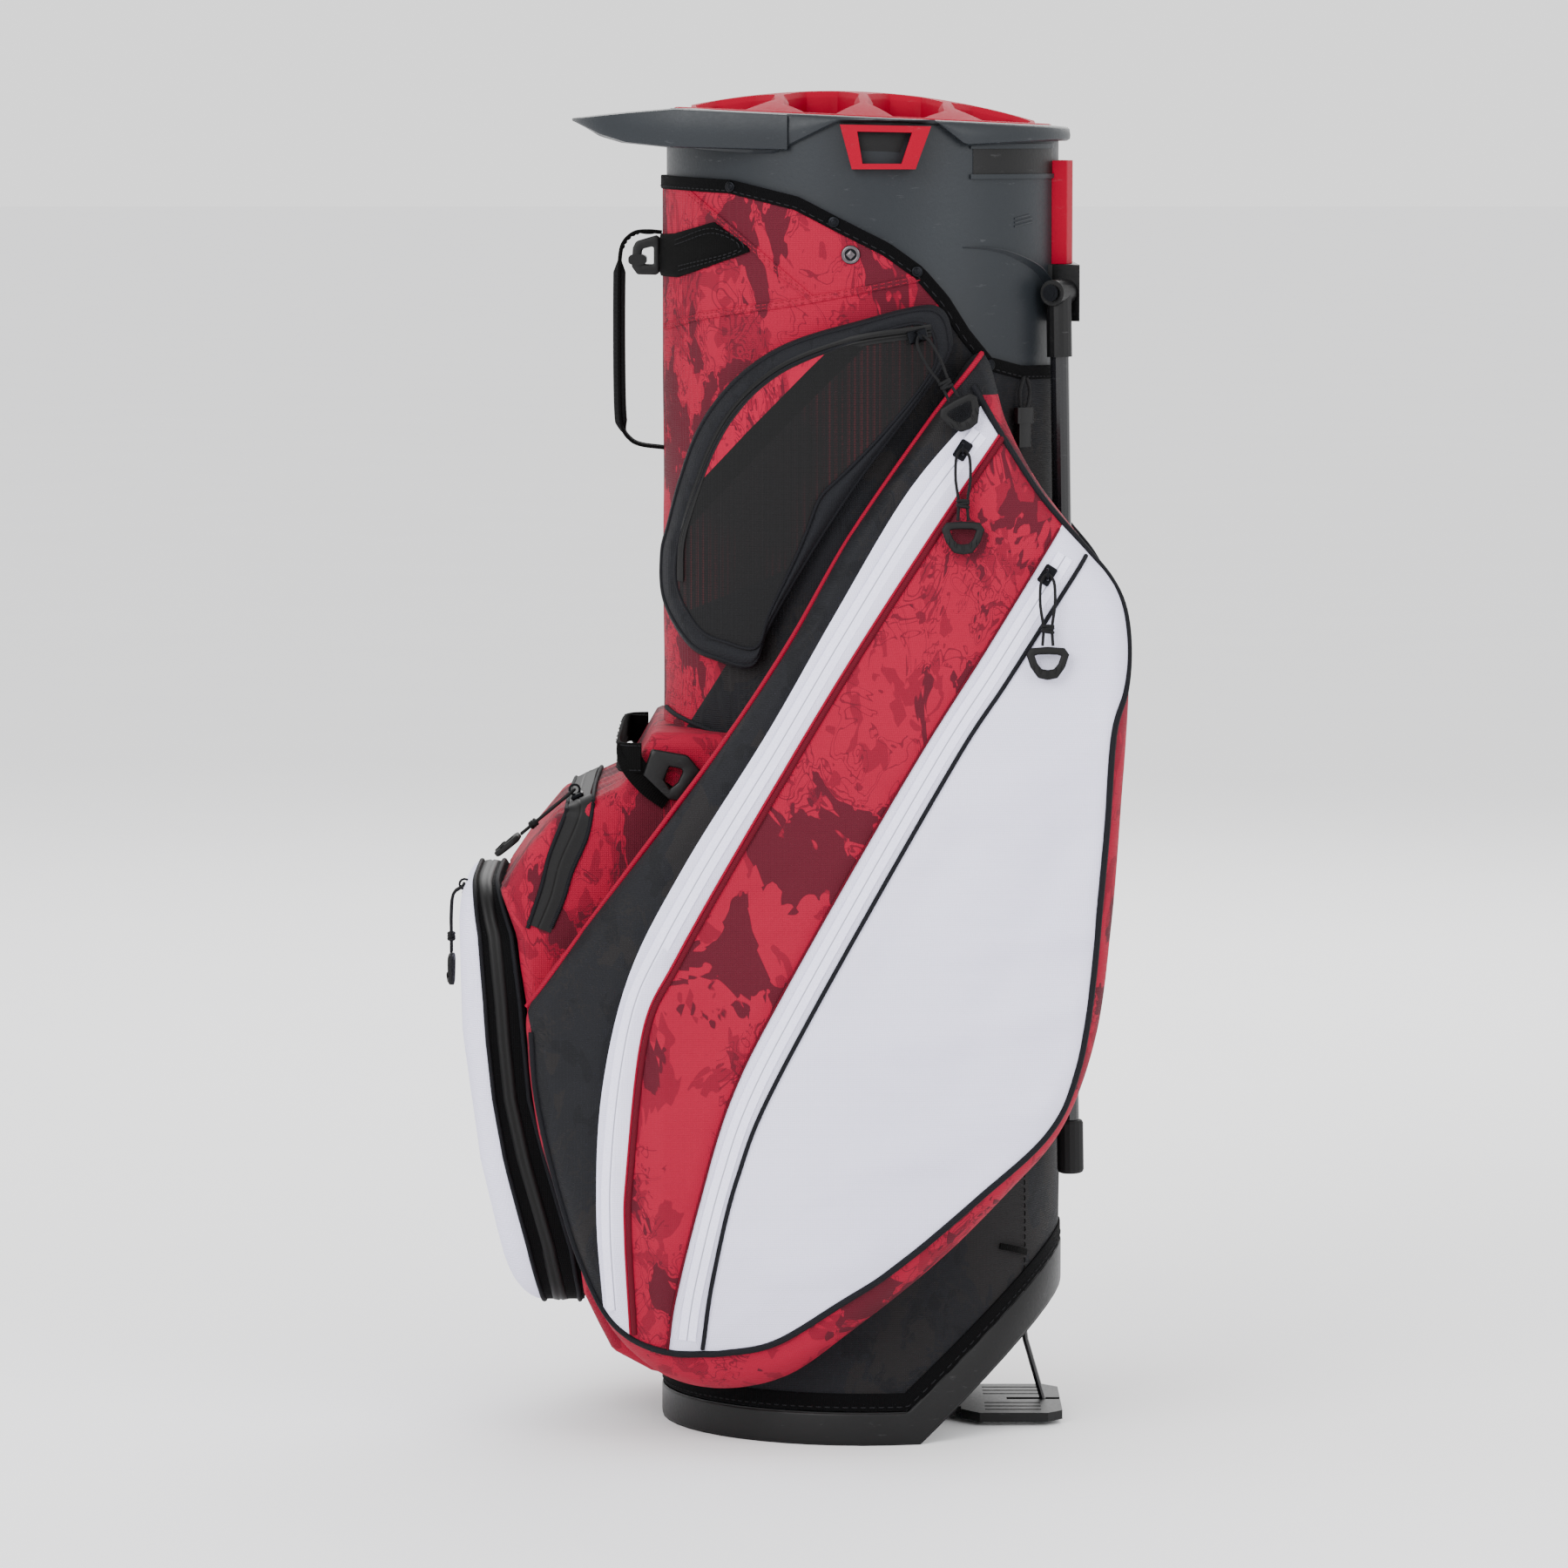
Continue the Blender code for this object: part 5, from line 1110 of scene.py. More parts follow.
def mesh_pocket(name, side):
    """The zipped pocket above: its outline carried out from the body, round the edge and in to its middle."""
    direction, reach = polar(MESH_OUTLINE, MESH_CENTRE, 300)
    distance, wall = rings_of(reach, MESH_EDGE, 4, 8, 44)
    x, z = from_centre(MESH_CENTRE, direction, distance)
    lift = mesh_lift(x, z)
    lift[:len(wall)] *= wall[:, None]
    grid = np.stack([x, side * np.maximum(oval_y(x, lift), 0.012), z], axis=-1)
    rim = inward(x, z, MESH_OUTLINE, MESH_CENTRE)
    slant = -line_distance(x, z, lengthened(MESH_SLANT))
    low = -line_distance(x, z, lengthened(MESH_FLOOR))
    piece(f"mesh_pocket_cloth_{name}", [skin(grid, around=True, rim=rim, slant=slant, low=low)], [MESH_CLOTH],
          slot="mesh_fabric", replaces=(f"mesh_pocket_{name}",), crease=89)
    flat = spread(MESH_ZIP, 120)
    zip_line(f"zip_mesh_tape_{name}", on_mesh(*flat.T, side, 0.0004), oval_out(flat[:, 0], side), 0.0078,
             BLACK_ZIP, "mesh_fabric")
    centre = np.array(MESH_CENTRE)
    outer = spread(centre + 0.975 * (np.array(MESH_OUTLINE) - centre), 240, closed=True)
    way, far = polar(MESH_OUTLINE, MESH_CENTRE, 240)
    inner = centre + way * (far - MESH_BAND - 0.0015)[:, None]
    for label, edge, lift, radius in (("outer", outer, 0.0, 0.0014), ("inner", inner, 0.0002, 0.0011)):
        piping(f"mesh_{label}_piping_{name}", on_mesh(*edge.T, side, lift), oval_out(edge[:, 0], side),
               radius, closed=True, slot="mesh_fabric")


# ---------------------------------------------------------------- front pockets

def accessory_pocket():
    """The front pocket: its outline held across the bag, with rounded edges and flat side walls."""
    places = along(FRONT_TOP + FRONT_BACK[1:] + FRONT_FOOT, 150)
    arms = places - np.array(FRONT_CENTRE)
    reach = np.linalg.norm(arms, axis=1)
    direction = arms / reach[:, None]
    edge = 0.01
    turn = np.linspace(0, math.pi / 2, 9)
    fall = edge * (1 - np.cos(turn))
    rise = edge * (1 - np.sin(turn))
    wall, spoke = np.full(9, edge), np.linspace(0, 0.9, 9)
    shrink = np.r_[spoke, np.ones(58), spoke[::-1]]
    inset = np.r_[wall, rise, np.zeros(40), fall, wall]
    y = np.r_[0 * wall - FRONT_HALF, fall - FRONT_HALF, np.linspace(edge - FRONT_HALF, FRONT_HALF - edge, 40),
              FRONT_HALF - rise, 0 * wall + FRONT_HALF]
    puff = 0.0012 * np.sin(90 * y[:, None]) * np.sin(places[:, 1] * 40) * (shrink[:, None] == 1)
    distance = (reach - inset[:, None]) * shrink[:, None] - np.abs(puff)
    x, z = from_centre(FRONT_CENTRE, direction, distance)
    grid = np.stack([x, np.repeat(y[:, None], len(reach), 1), z], axis=-1)
    piece("accessory_pocket_cloth", [skin(grid, around=True)], [RED_CAMO], slot="red_camo_fabric",
          replaces=("accessory_pocket",), crease=89)

    wall = FRONT_HALF + 0.0004
    half = [(-0.2125, -wall, 0.341), (-0.204, -wall, 0.362), (-0.1985, -wall, 0.383), (-0.189, -wall, 0.405),
            (-0.185, -wall + 0.001, 0.4165), (-0.185, -0.098, 0.4236), (-0.187, -0.075, 0.4228),
            (-0.187, 0.0, 0.4228)]
    route = spread(mirrored(half), 200)
    wrap = np.clip((np.abs(route[:, 1]) - 0.092) / 0.014, 0, 1)[:, None]
    out = unit(wrap * np.array([0, 1, 0]) * np.sign(route[:, 1:2]) + (1 - wrap) * np.array([-0.415, 0, 0.91]))
    zip_line("zip_accessory_tape", route, out, 0.017, BLACK_ZIP, "red_camo_fabric", 0.6)
    for label, half in (("front", [(-0.2195, -wall, 0.341), (-0.2105, -wall, 0.368), (-0.2055, -wall, 0.388),
                                   (-0.197, -wall, 0.41), (-0.1945, -0.1055, 0.4165),
                                   (-0.194, -0.098, 0.4196), (-0.195, 0.0, 0.419)]),
                        ("back", [(-0.204, -wall, 0.341), (-0.196, -wall, 0.36), (-0.1905, -wall, 0.378),
                                  (-0.181, -wall, 0.4), (-0.177, -0.106, 0.419), (-0.1765, -0.098, 0.4272),
                                  (-0.1775, 0.0, 0.4266)])):
        route = spread(mirrored(half), 160)
        piping(f"accessory_{label}_piping", route, (-0.3, 0.0, 0.95) + 0 * route, 0.0014,
               slot="red_camo_fabric")


def ball_face(z, share):
    """x of the ball pocket at a share of its depth, from its back line to its face."""
    back = profile(z, np.array(FRONT_BACK)[::-1, ::-1]) - 0.0008
    front = profile(z, np.array(BALL_FACE)[:, ::-1])
    return back + (front - back) * share


def ball_pocket():
    """The ball pocket: a squared oval in (y, z) carried forward as a zip wall, then round the edge to its
    face."""
    middle = 0.5 * (BALL_LOW + BALL_HIGH)
    half = 0.5 * (BALL_HIGH - BALL_LOW)
    turn = turns(240)
    oy, oz = BALL_HALF * bow(np.cos(turn), 0.42), half * bow(np.sin(turn), 0.36)
    reach = np.hypot(oy, oz)
    distance, wall = rings_of(reach, 0.02, 8, 10, 40)
    distance = np.vstack([np.linspace(0.9, 0.98, 2)[:, None] * reach, distance])
    y = distance / reach * oy
    z = middle + distance / reach * oz
    bend = np.sin(np.linspace(0, math.pi / 2, 11))[1:]
    share = np.r_[0, 0, wall * BALL_WALL, BALL_WALL + (0.93 - BALL_WALL) * bend]
    over = np.linspace(1, 0, 41)[1:] ** 1.15
    share = np.r_[share, 0.93 + 0.07 * (1 - over ** 2)][:, None] + 0 * y
    x = ball_face(z, share)
    x = x - 0.001 * np.sin(34 * z + 20 * y) * np.clip((share - 0.9) / 0.1, 0, 1)
    grid = np.stack([x, y, z], axis=-1)
    piece("ball_pocket_cloth", [skin(grid, around=True, share=share)], [BALL_CLOTH], slot="white_fabric",
          replaces=("ball_pocket",), crease=89)
    out = unit(np.stack([0 * oy, oy / BALL_HALF, oz / half], axis=1))
    for label, at, radius in (("back", 0.06, 0.0016), ("face", BALL_WALL, 0.0015)):
        path = np.stack([ball_face(middle + oz, at), oy, middle + oz], axis=1) + out * 0.0004
        piping(f"ball_{label}_piping", path, out, radius, closed=True)
    path = np.stack([ball_face(middle + oz, 0.34), oy, middle + oz], axis=1)
    section = np.array([(-0.0045, -0.3), (-0.0045, 0.3), (-0.0012, 0.9), (0.0, 0.2), (0.0012, 0.9),
                        (0.0045, 0.3), (0.0045, -0.3)]) * (1, MM)
    piece("zip_ball_tape", [bar(path, section, out, closed=True, across=section[:, 0][None, :])], [BLACK_ZIP],
          slot="white_fabric", crease=80)


# ---------------------------------------------------------------- handles and straps

def front_webbing():
    """Webbing sewn to the upper front: it narrows to a point on each side, and carries the clip."""
    tip = math.acos(-0.074 / HALF_X)
    x, y, out = round_body(math.pi + (math.pi - tip) * np.linspace(-1, 1, 121), 0.0012)
    upper = np.interp(x, [-0.1335, -0.124, -0.098, -0.073], [0.7915, 0.7925, 0.8005, 0.783])
    lower = np.interp(x, [-0.1335, -0.122, -0.073], [0.764, 0.764, 0.7822])
    rows = np.linspace(0, 1, 16)[:, None]
    z = lower + (upper - lower) * rows
    outer = np.stack([x + 0 * z, y + 0 * z, z], axis=-1)
    outer = outer + out * np.sin(math.pi * rows[..., None]) ** 0.25 * 0.0009
    inner = outer[::-1] - out * 0.0013
    skins = [skin(np.concatenate([outer, inner]).transpose(1, 0, 2), around=True)]
    for inset in (0.0022, 0.0052):
        for side in (LEFT, RIGHT):
            flat = spread([(-0.1235, 0.7905 - inset), (-0.098, 0.7985 - inset), (-0.0765 - inset, 0.7832),
                           (-0.1215, 0.766 + inset)], 70)
            skins += stitch_skins(*oval_run(flat, side, 0.0023), 0.0024, 0.0016, 0.0004)
    piece("front_webbing_tape", skins, [BLACK_WEB, THREAD], slot="black_webbing",
          replaces=("handle_webbing",))


# How a plate's edge is rounded on the way in to its window, as (share of the way, share of the thickness)
BEVEL = ((0.0, 0.55), (0.06, 0.85), (0.18, 1.0), (0.82, 1.0), (0.94, 0.85), (1.0, 0.55))
GRIP_BEVEL = ((0.0, 1.0), (0.12, 1.45), (0.35, 1.75), (0.65, 1.75), (0.88, 1.45), (1.0, 1.0), (1.0, 0.0))


def framed_plate(outer, inner, half_thick, place, bevel=BEVEL):
    """A flat plate with a window, its edges bevelled: the outline runs in to the window over the top face,
    down and back under. `place` turns (across, out, along) into the bag's frame."""
    rim, hole = (along(np.vstack([line, line[:1]]), 60, True) for line in (outer, inner))
    rows = []
    for share, lift in ((0.0, 0.0), *bevel, *((share, -lift) for share, lift in bevel[::-1] if lift)):
        flat = rim + (hole - rim) * share
        rows.append(place(np.stack([flat[:, 0], np.full(60, lift * half_thick), flat[:, 1]], axis=1)))
    return skin(np.stack(rows), around=True, tube=True)


def handle_clip():
    """The clip of the lift handle: a wedge shaped plate with a window, thicker where the webbing holds it."""
    outer = np.array([(-0.152, 0.7825), (-0.15, 0.7865), (-0.1365, 0.7905), (-0.1345, 0.789),
                      (-0.1345, 0.766), (-0.1365, 0.7645), (-0.149, 0.7648), (-0.1528, 0.77)])
    inner = np.array([(-0.1462, 0.78), (-0.145, 0.7818), (-0.1392, 0.7832), (-0.1382, 0.7825),
                      (-0.1382, 0.772), (-0.1392, 0.7712), (-0.1455, 0.7714), (-0.1468, 0.774)])
    skins = [framed_plate(outer, inner, 0.0017, lambda p, y=y: p + np.array([0.0, y, 0.0]))
             for y in (-0.0105, 0.0105)]
    cross = [(-0.149, y, 0.7745) for y in (-0.0125, 0.0, 0.0125)]
    skins.append(bar(cross, ring(0.0036, 14, 1.7, 3.0), (1.0, 0.0, 0.0)))
    piece("handle_clip_plate", skins, [BLACK_MOULD], slot="black_plastic", replaces=("handle_clip",),
          crease=30)


def lift_handle():
    """The lift handle: webbing from the upper seam, round the clip and down to the lower seam, padded
    between."""
    route = spread([(-0.133, 0.7925), (-0.142, 0.7932), (-0.151, 0.7922), (-0.158, 0.7862), (-0.1606, 0.777),
                    (-0.1612, 0.76), (-0.1614, 0.72), (-0.161, 0.68), (-0.1595, 0.664), (-0.1545, 0.656),
                    (-0.147, 0.652), (-0.1318, 0.65)], 150)
    path = np.stack([route[:, 0], 0 * route[:, 0], route[:, 1]], axis=1)
    share = np.linspace(0, 1, len(path))
    pad = np.clip(np.minimum(share - 0.2, 0.86 - share) / 0.06, 0, 1)
    ahead = unit(np.gradient(path, axis=0))
    out = np.cross(ahead, (0.0, 1.0, 0.0))
    tube, sewn = slice(31, 128), slice(4, 28)
    skins = [bar(path, strap_section(0.02, 0.0026), out),
             bar(path[tube], strap_section(0.013, 0.0082, 24), out[tube], size=np.clip(pad[tube], 0.3, 1),
                 finish=1)]
    for shift in (-0.0078, 0.0078):
        line = path[sewn] + np.array([0, shift, 0]) + out[sewn] * 0.0014
        skins += stitch_skins(line, out[sewn], 0.0024, 0.0016, 0.0004, 2)
    piece("lift_handle_tape", skins, [BLACK_WEB, PAD_CLOTH, THREAD], slot="black_webbing",
          replaces=("lift_handle",))


def grab_strap():
    """The grab strap: webbing across the front between the two rings, doubled back and sewn at its ends."""
    half = [(-0.145, -0.1162), (-0.154, -0.113), (-0.159, -0.103), (-0.1605, -0.08), (-0.1608, -0.04),
            (-0.1608, 0.0)]
    flat = spread(mirrored(half), 160)
    path = np.stack([flat[:, 0], flat[:, 1], np.full(len(flat), 0.4535)], axis=1)
    out = np.cross(unit(np.gradient(path, axis=0)), (0.0, 0.0, 1.0))
    skins = [bar(path, strap_section(0.0196, 0.0024), out)]
    for shift in (-0.008, 0.008):
        skins += stitch_skins(path + np.array([0, 0, shift]) - out * 0.0013, out, 0.0028, 0.0018, 0.0004)
    piece("grab_strap_tape", skins, [BLACK_WEB, THREAD], slot="black_webbing", replaces=("grab_strap",))


def ring_loops():
    """The rings, skewed plates with a small window, and the webbing loops that hold them to the pocket's
    seam."""
    outer = np.array([(-0.144, 0.4425), (-0.1387, 0.458), (-0.1375, 0.459), (-0.115, 0.455),
                      (-0.1135, 0.4535), (-0.106, 0.4445), (-0.1195, 0.425), (-0.127, 0.4262)])
    inner = np.array([(-0.13, 0.4385), (-0.1268, 0.447), (-0.1262, 0.4476), (-0.119, 0.4462),
                      (-0.1184, 0.4455), (-0.118, 0.444), (-0.121, 0.4375), (-0.1262, 0.433)])
    for name, side in SIDES:
        plate = framed_plate(outer, inner, 0.003, lambda p, side=side: p + np.array([0.0, side * 0.113, 0.0]))
        piece(f"grab_ring_plate_{name}", [plate], [BLACK_MOULD], slot="black_plastic",
              replaces=(f"grab_ring_{name}",), crease=30)
        path = spread([(-0.153, 0.108, 0.462), (-0.153, 0.111, 0.456), (-0.15, 0.1145, 0.448),
                       (-0.14, 0.112, 0.436), (-0.127, 0.1078, 0.426)], 60) * (1, side, 1)
        piece(f"ring_loop_{name}", [bar(path, strap_section(0.016, 0.0016), (0.0, side, 0.2))], [BLACK_WEB],
              slot="black_webbing")


def small_fittings():
    """Black plates that paint the shade inside the grip windows, a stretch cord and buckle beside the leg
    housing, the seam and loop low on the tube, and the piping round the neck above the front pocket."""
    for name, side in SIDES:
        # painted shade: a black plate on the grey sleeve inside each grip window, standing in for the dark of
        # the opening
        outline = np.array([(-0.0132, 0.8668), (0.03, 0.865), (0.0225, 0.8462), (-0.006, 0.847)])
        rows = [outline.mean(0) + (outline - outline.mean(0)) * grow for grow in (1.0, 1.0, 0.5, 0.02)]
        lifts = (-0.0005, 0.0009, 0.0011, 0.0011)
        wall = [on_sleeve(*flat.T, side, lift) for flat, lift in zip(rows, lifts)]
        piece(f"grip_window_painted_shade_{name}", [skin(np.stack(wall), around=True)], [BLACK_MOULD],
              slot="black_plastic")

        flat = spread([(0.107, 0.088), (0.1075, 0.13), (0.107, 0.18)], 60)
        seam = stitch_skins(*oval_run(flat, side, 0.0008), 0.003, 0.002, finish=0)
        loop = spread([(0.0905, 0.1275), (0.099, 0.1245), (0.1085, 0.1205)], 24)
        path, out = oval_run(loop, side, 0.001)
        path = path + out * (0.0022 * np.sin(np.linspace(0, math.pi, 24)))[:, None]
        piece(f"tube_loop_{name}", seam + [bar(path, strap_section(0.0042, 0.0012, 12), out)], [BLACK_WEB],
              slot="black_webbing")

        neck = spread([(-0.13, 0.479), (-0.122, 0.475), (-0.1, 0.468), (-0.086, 0.465)], 50)
        piping(f"neck_piping_{name}", *oval_run(neck, side, 0.0006), slot="red_camo_fabric")

        cord = spread([(0.1045, 0.078, 0.6995), (0.1018, 0.0815, 0.69), (0.1025, 0.083, 0.68),
                       (0.1062, 0.08, 0.679), (0.1085, 0.0755, 0.69), (0.1065, 0.0765, 0.699)], 60)
        skins = [bar(cord * (1, side, 1), ring(0.0012, 8), oval_out(cord[:, 0], side), finish=1)]
        for low, high, wide in ((0.6695, 0.68, 0.0085), (0.654, 0.67, 0.0062)):
            path = [(0.1045, side * 0.0795, z) for z in (low, 0.5 * (low + high), high)]
            skins.append(bar(path, ring(wide, 16, 0.35, 4.0), oval_out(np.array([0.1045]), side)[0]))
        piece(f"back_buckle_{name}", skins, [BLACK_MOULD, CORD_BRAID], slot="black_plastic", crease=40)


# ---------------------------------------------------------------- back pads

def pad_skin(low, high, square=5.0, wrap=False, channels=0):
    """A pad: a squared ball stretched to its box, drawn in along sewn channels across it and, where it lies
    on the body, bent to the body's oval."""
    low, high = np.array(low), np.array(high)
    centre, half = (low + high) / 2, (high - low) / 2
    v = np.linspace(-math.pi / 2, math.pi / 2, 61)[:, None]
    u = turns(64)
    tall, flat = 2 / square, 2 / 3.2
    ball = np.stack([bow(np.cos(v), tall) * bow(np.cos(u), flat), bow(np.cos(v), tall) * bow(np.sin(u), tall),
                     bow(np.sin(v), tall) + 0 * u], axis=-1)
    if channels:
        groove = np.abs(np.sin(channels * math.pi * (ball[..., 2] + 1) / 2))
        ball[..., 0] *= 0.72 + 0.28 * groove ** 0.35
    place = centre + half * ball
    if wrap:
        place[..., 0] += (HALF_X * np.sqrt(1 - (place[..., 1] / HALF_Y) ** 2) - HALF_X) * np.clip(
            1 - 0.5 * (ball[..., 0] + 1), 0, 1)
    return skin(place, around=True)


def back_pads():
    """The hip pad against the back, and the two folded shoulder straps on it, each with a webbing tape down
    its face."""
    hip = piece("hip_pad_cushion", [pad_skin((0.1325, -0.0395, 0.302), (0.1468, 0.0395, 0.533), 6.0, True,
                                             5)],
                [PAD_CLOTH], slot="padded_fabric", replaces=("hip_pad",), crease=89)
    for name, side in SIDES:
        near, far = sorted((side * 0.0014, side * 0.0388))
        strap = piece(f"shoulder_strap_cushion_{name}",
                      [pad_skin((0.1478, near, 0.2845), (0.1589, far, 0.5285), 6.0, False, 3)], [PAD_CLOTH],
                      slot="padded_fabric", replaces=(f"shoulder_strap_{name}",), crease=89)
        y = side * 0.02
        path = spread([(0.1594, y, 0.3), (0.1597, y, 0.4), (0.1594, y, 0.515)], 80)
        piece(f"shoulder_strap_tape_{name}", [bar(path, strap_section(0.019, 0.0012), (1.0, 0.0, 0.0))],
              [BLACK_WEB], slot="black_webbing")


# ---------------------------------------------------------------- zip pulls

def pull_point(apex, fall, out, stand_off, u, s):
    """A place on a pull: u down its fall, s across it, stood off its cloth past the ledge it hangs over."""
    share = min(1.0, u / LEDGE_REACH)
    return apex + fall * u + fall.cross(out) * s + out * stand_off * share * share * (3 - 2 * share)


def smooth_loop(points, steps):
    """A Catmull-Rom curve through the points, with equal steps between them."""
    path = [2 * points[0] - points[1]] + points + [2 * points[-1] - points[-2]]
    made = []
    for a, b, c, d in zip(path, path[1:], path[2:], path[3:]):
        for j in range(steps):
            t = j / steps
            made.append(0.5 * (2 * b + (c - a) * t + (2 * a - 5 * b + 4 * c - d) * t ** 2
                               + (3 * b - a - 3 * c + d) * t ** 3))
    return made + [points[-1]]


def pull(name, spot, normal, fall, out, stand_off=0.0):
    """The cord loop of one zip pull, the knot on it and the crescent grip at its two ends."""
    apex = Vector(spot) + Vector(normal).normalized() * ARCH_HEIGHT
    fall, out = Vector(fall).normalized(), Vector(out).normalized()
    half_loop = [(0.0, 0.0), (0.0022, 0.62 * LOOP_HALF), (0.007, LOOP_HALF), (0.02, 1.05 * LOOP_HALF),
                 (0.034, 0.62 * LOOP_HALF), (PULL_STRAND, 0.75 * LOOP_HALF)]
    near = [pull_point(apex, fall, out, stand_off, u, s) for u, s in half_loop]
    far = [pull_point(apex, fall, out, stand_off, u, -s) for u, s in half_loop[1:]]
    route = smooth_loop(near[::-1] + far, 3)
    curve = bpy.data.curves.new(f"pull_cord_{name}", "CURVE")
    curve.dimensions = "3D"
    curve.bevel_depth = CORD_RADIUS
    curve.bevel_resolution = 3
    curve.use_fill_caps = True
    line = curve.splines.new("POLY")
    line.points.add(len(route) - 1)
    for point, place in zip(line.points, route):
        point.co = (*place, 1.0)
    curve.materials.append(CORD_BRAID)
    cord = add_object(f"pull_cord_{name}", curve)
    body = f"pull_{name}"
    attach(cord, body)
    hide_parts(f"cord_{name}")
    length = sum((b - a).length for a, b in zip(route, route[1:]))

    across = fall.cross(out)
    frame_of = np.array([across, out, fall])
    centre = np.array(pull_point(apex, fall, out, stand_off, 0.0345, 0.0))
    turn = turns(28)[:, None]
    knots = []
    for tilt, rise in ((0.0, -0.0011), (0.5, 0.0008), (-0.4, 0.0024)):
        circle = np.hstack([0.0034 * np.cos(turn), 0.0018 * np.sin(turn),
                            rise + 0.0012 * tilt * np.cos(turn)])
        knots.append(bar(centre + circle @ frame_of, ring(0.0011, 8), np.array(fall), closed=True))
    knot = piece(f"pull_knot_{name}", knots, [CORD_BRAID], body=body, slot="cord")

    top = PULL_STRAND + 0.0003
    origin = np.array(pull_point(apex, fall, out, stand_off, top, 0.0))
    outer = np.array([(-0.0138, 0.0055), (-0.0108, 0.0012), (0.0, 0.0004), (0.0108, 0.0012), (0.0138, 0.0055),
                      (0.0112, 0.0135), (0.0062, 0.0205), (0.0, 0.0217), (-0.0062, 0.0205),
                      (-0.0112, 0.0135)])
    inner = np.array([(-0.0085, 0.0062), (-0.0062, 0.0054), (0.0, 0.0052), (0.0062, 0.0054), (0.0085, 0.0062),
                      (0.0066, 0.0115), (0.0038, 0.0148), (0.0, 0.0154), (-0.0038, 0.0148),
                      (-0.0066, 0.0115)])
    skins = [framed_plate(outer, inner, 0.00125, lambda p: p @ frame_of + origin, GRIP_BEVEL)]
    for at in (-0.0095, -0.0048, 0.0, 0.0048, 0.0095):
        deep = 0.018 - 0.45 * abs(at)
        rib = np.array([(at, 0.0022, deep - 0.0018), (at, 0.0025, deep), (at, 0.0022, deep + 0.0018)])
        skins.append(bar(rib @ frame_of + origin, ring(0.0006, 8), np.array(out)))
    grip = piece(f"pull_grip_{name}", skins, [GRIP_RUBBER], body=body, slot="rubber",
                 replaces=(f"grip_{name}",))
    tuple(near[-1])


def pulls():
    """The five pulls, each hung where its slider's arch is."""
    face = (0.0, -1.0, SIDE_SLOPE)
    hang = (0.0, -SIDE_SLOPE, -1.0)
    for name, x, z in (("upper_left", 0.0632, 0.6544), ("lower_left", 0.1175, 0.5746)):
        depth = SIDE_DEPTH - SIDE_SLOPE * (z - 0.45)
        pull(name, (x, -depth, z), face, hang, face)
    grown_x, grown_y = HALF_X + MESH_DEPTH, HALF_Y + MESH_DEPTH
    x, z = 0.0336, 0.728
    y = -grown_y * math.sqrt(1 - (x / grown_x) ** 2)
    normal = Vector((x / grown_x ** 2, y / grown_y ** 2, 0.0)).normalized()
    pull("mesh_left", Vector((x, y, z)) + normal * 0.0006, normal, (0.483, 0.0, -0.876), (0.0, -1.0, 0.0),
         0.0045)
    pull("accessory", (-0.187, -0.07, 0.4222), (-0.415, 0.0, 0.91), (-0.77, 0.0, -0.64), (-0.64, 0.0, 0.77))
    pull("ball", (-0.2604, -0.045, 0.3578), (-0.533, 0.0, 0.846), (0.0, 0.0, -1.0), (-1.0, 0.0, 0.0), 0.0085)


# ---------------------------------------------------------------- finishes of the frame's own parts

FRAME_FINISHES = (
    ("top_cuff", GREY_MOULD), ("divider_top", RED_MOULD), ("grip_frame", RED_MOULD),
    ("housing_cover", RED_MOULD), ("leg_housing", BLACK_MOULD), ("leg_yoke", BLACK_MOULD),
    ("leg_tube", LEG_ENAMEL), ("leg_foot", GRIP_RUBBER), ("hinge_pin", DARK_STEEL),
    ("foot_hinge_pin", DARK_STEEL), ("foot_plate", BLACK_MOULD), ("push_rod", LEG_ENAMEL),
    ("base_cup", BLACK_MOULD), ("handle_clip", BLACK_MOULD), ("grab_ring", BLACK_MOULD),
    ("slider", DARK_STEEL), ("divider_long", DIVIDER_CLOTH), ("divider_cross", DIVIDER_CLOTH),
    ("stay", LEG_ENAMEL), ("strap_hub", BLACK_MOULD), ("strap_anchor", BLACK_MOULD))


def finish_frame():
    """Gives every part of the frame its finish."""
    for name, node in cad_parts.items():
        for start, finish in FRAME_FINISHES:
            if name.startswith(start):
                node.data.materials.clear()
                node.data.materials.append(finish)
        node.data.shade_smooth()
        node.data.set_sharp_from_angle(angle=math.radians(32))


# ---------------------------------------------------------------- studio

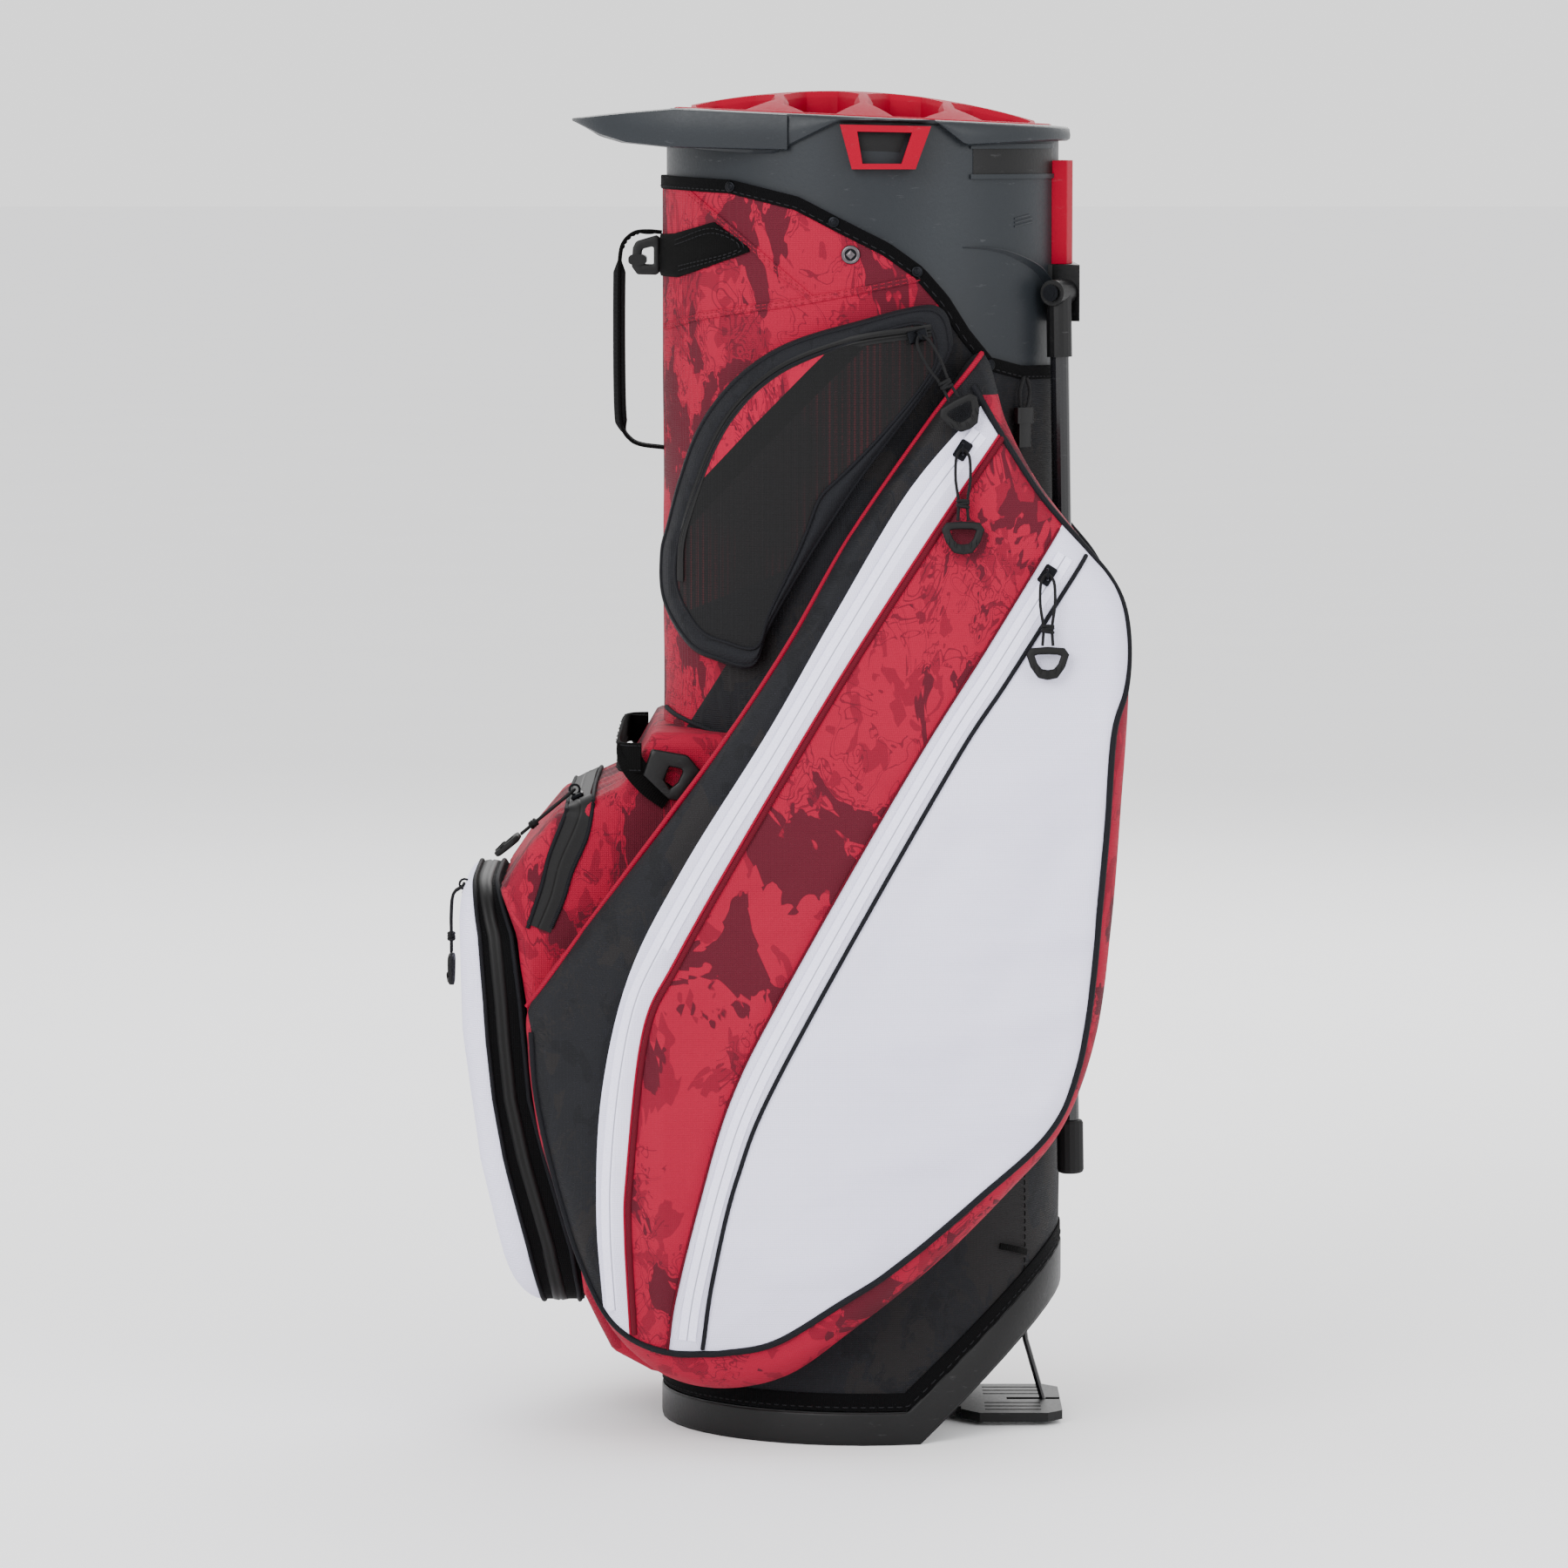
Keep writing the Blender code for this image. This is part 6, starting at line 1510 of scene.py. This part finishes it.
def facing(place, target):
    """The turn of a lamp or camera that looks from a place at a target."""
    return (Vector(target) - Vector(place)).to_track_quat("-Z", "Y").to_euler()


FLOOR_HALF = 60.0
FLOOR_HEIGHT = -0.0002      # just under the bag, so that the two faces don't flicker


def studio():
    """A pale floor, soft lights on both sides and above, and a long lens from the left side."""
    floor_kit = Kit("floor_paint", 0.9)
    patches = floor_kit.noise(floor_kit.place(), 3.0, 2.0)
    floor_kit.paint(floor_kit.mix(patches, (0.93, 0.93, 0.94, 1), (0.9, 0.9, 0.91, 1)))
    mesh = bpy.data.meshes.new("floor")
    corners = [(x * FLOOR_HALF, y * FLOOR_HALF, FLOOR_HEIGHT)
               for x, y in ((-1, -1), (1, -1), (1, 1), (-1, 1))]
    mesh.from_pydata(corners, [], [(0, 1, 2, 3)])
    mesh.materials.append(floor_kit.material)
    add_object("floor", mesh)
    world = bpy.data.worlds.new("studio")
    bpy.context.scene.world = world
    world.use_nodes = True
    sky = world.node_tree.nodes["Background"].inputs
    sky["Color"].default_value = (1.0, 1.0, 1.0, 1.0)
    sky["Strength"].default_value = 1.55
    for place, size, power in (((-2.2, -3.2, 2.6), 2.4, 170), ((2.6, -2.6, 1.8), 1.8, 60),
                               ((0.5, 2.6, 2.4), 2.5, 70)):
        light = bpy.data.lights.new("softbox", "AREA")
        light.size = size
        light.energy = power
        lamp = add_object("softbox", light)
        lamp.location = place
        lamp.rotation_euler = facing(place, (0, 0, 0.45))
    lens = bpy.data.cameras.new("camera")
    lens.lens = 155.4
    lens.sensor_width = 36
    camera = add_object("camera", lens)
    camera.location = (-0.052, -4.5, 0.87)
    camera.rotation_euler = facing(camera.location, (-0.052, 0, 0.425))
    bpy.context.scene.camera = camera


studio()
pulls()
finish_frame()
cuff()
divider_frames()
body()
bindings()
base_wall()
rivets_and_eyelets()
body_seams()
for side_name, side_sign in SIDES:
    side_pocket(side_name, side_sign)
    mesh_pocket(side_name, side_sign)
accessory_pocket()
ball_pocket()
front_webbing()
handle_clip()
lift_handle()
grab_strap()
ring_loops()
small_fittings()
back_pads()
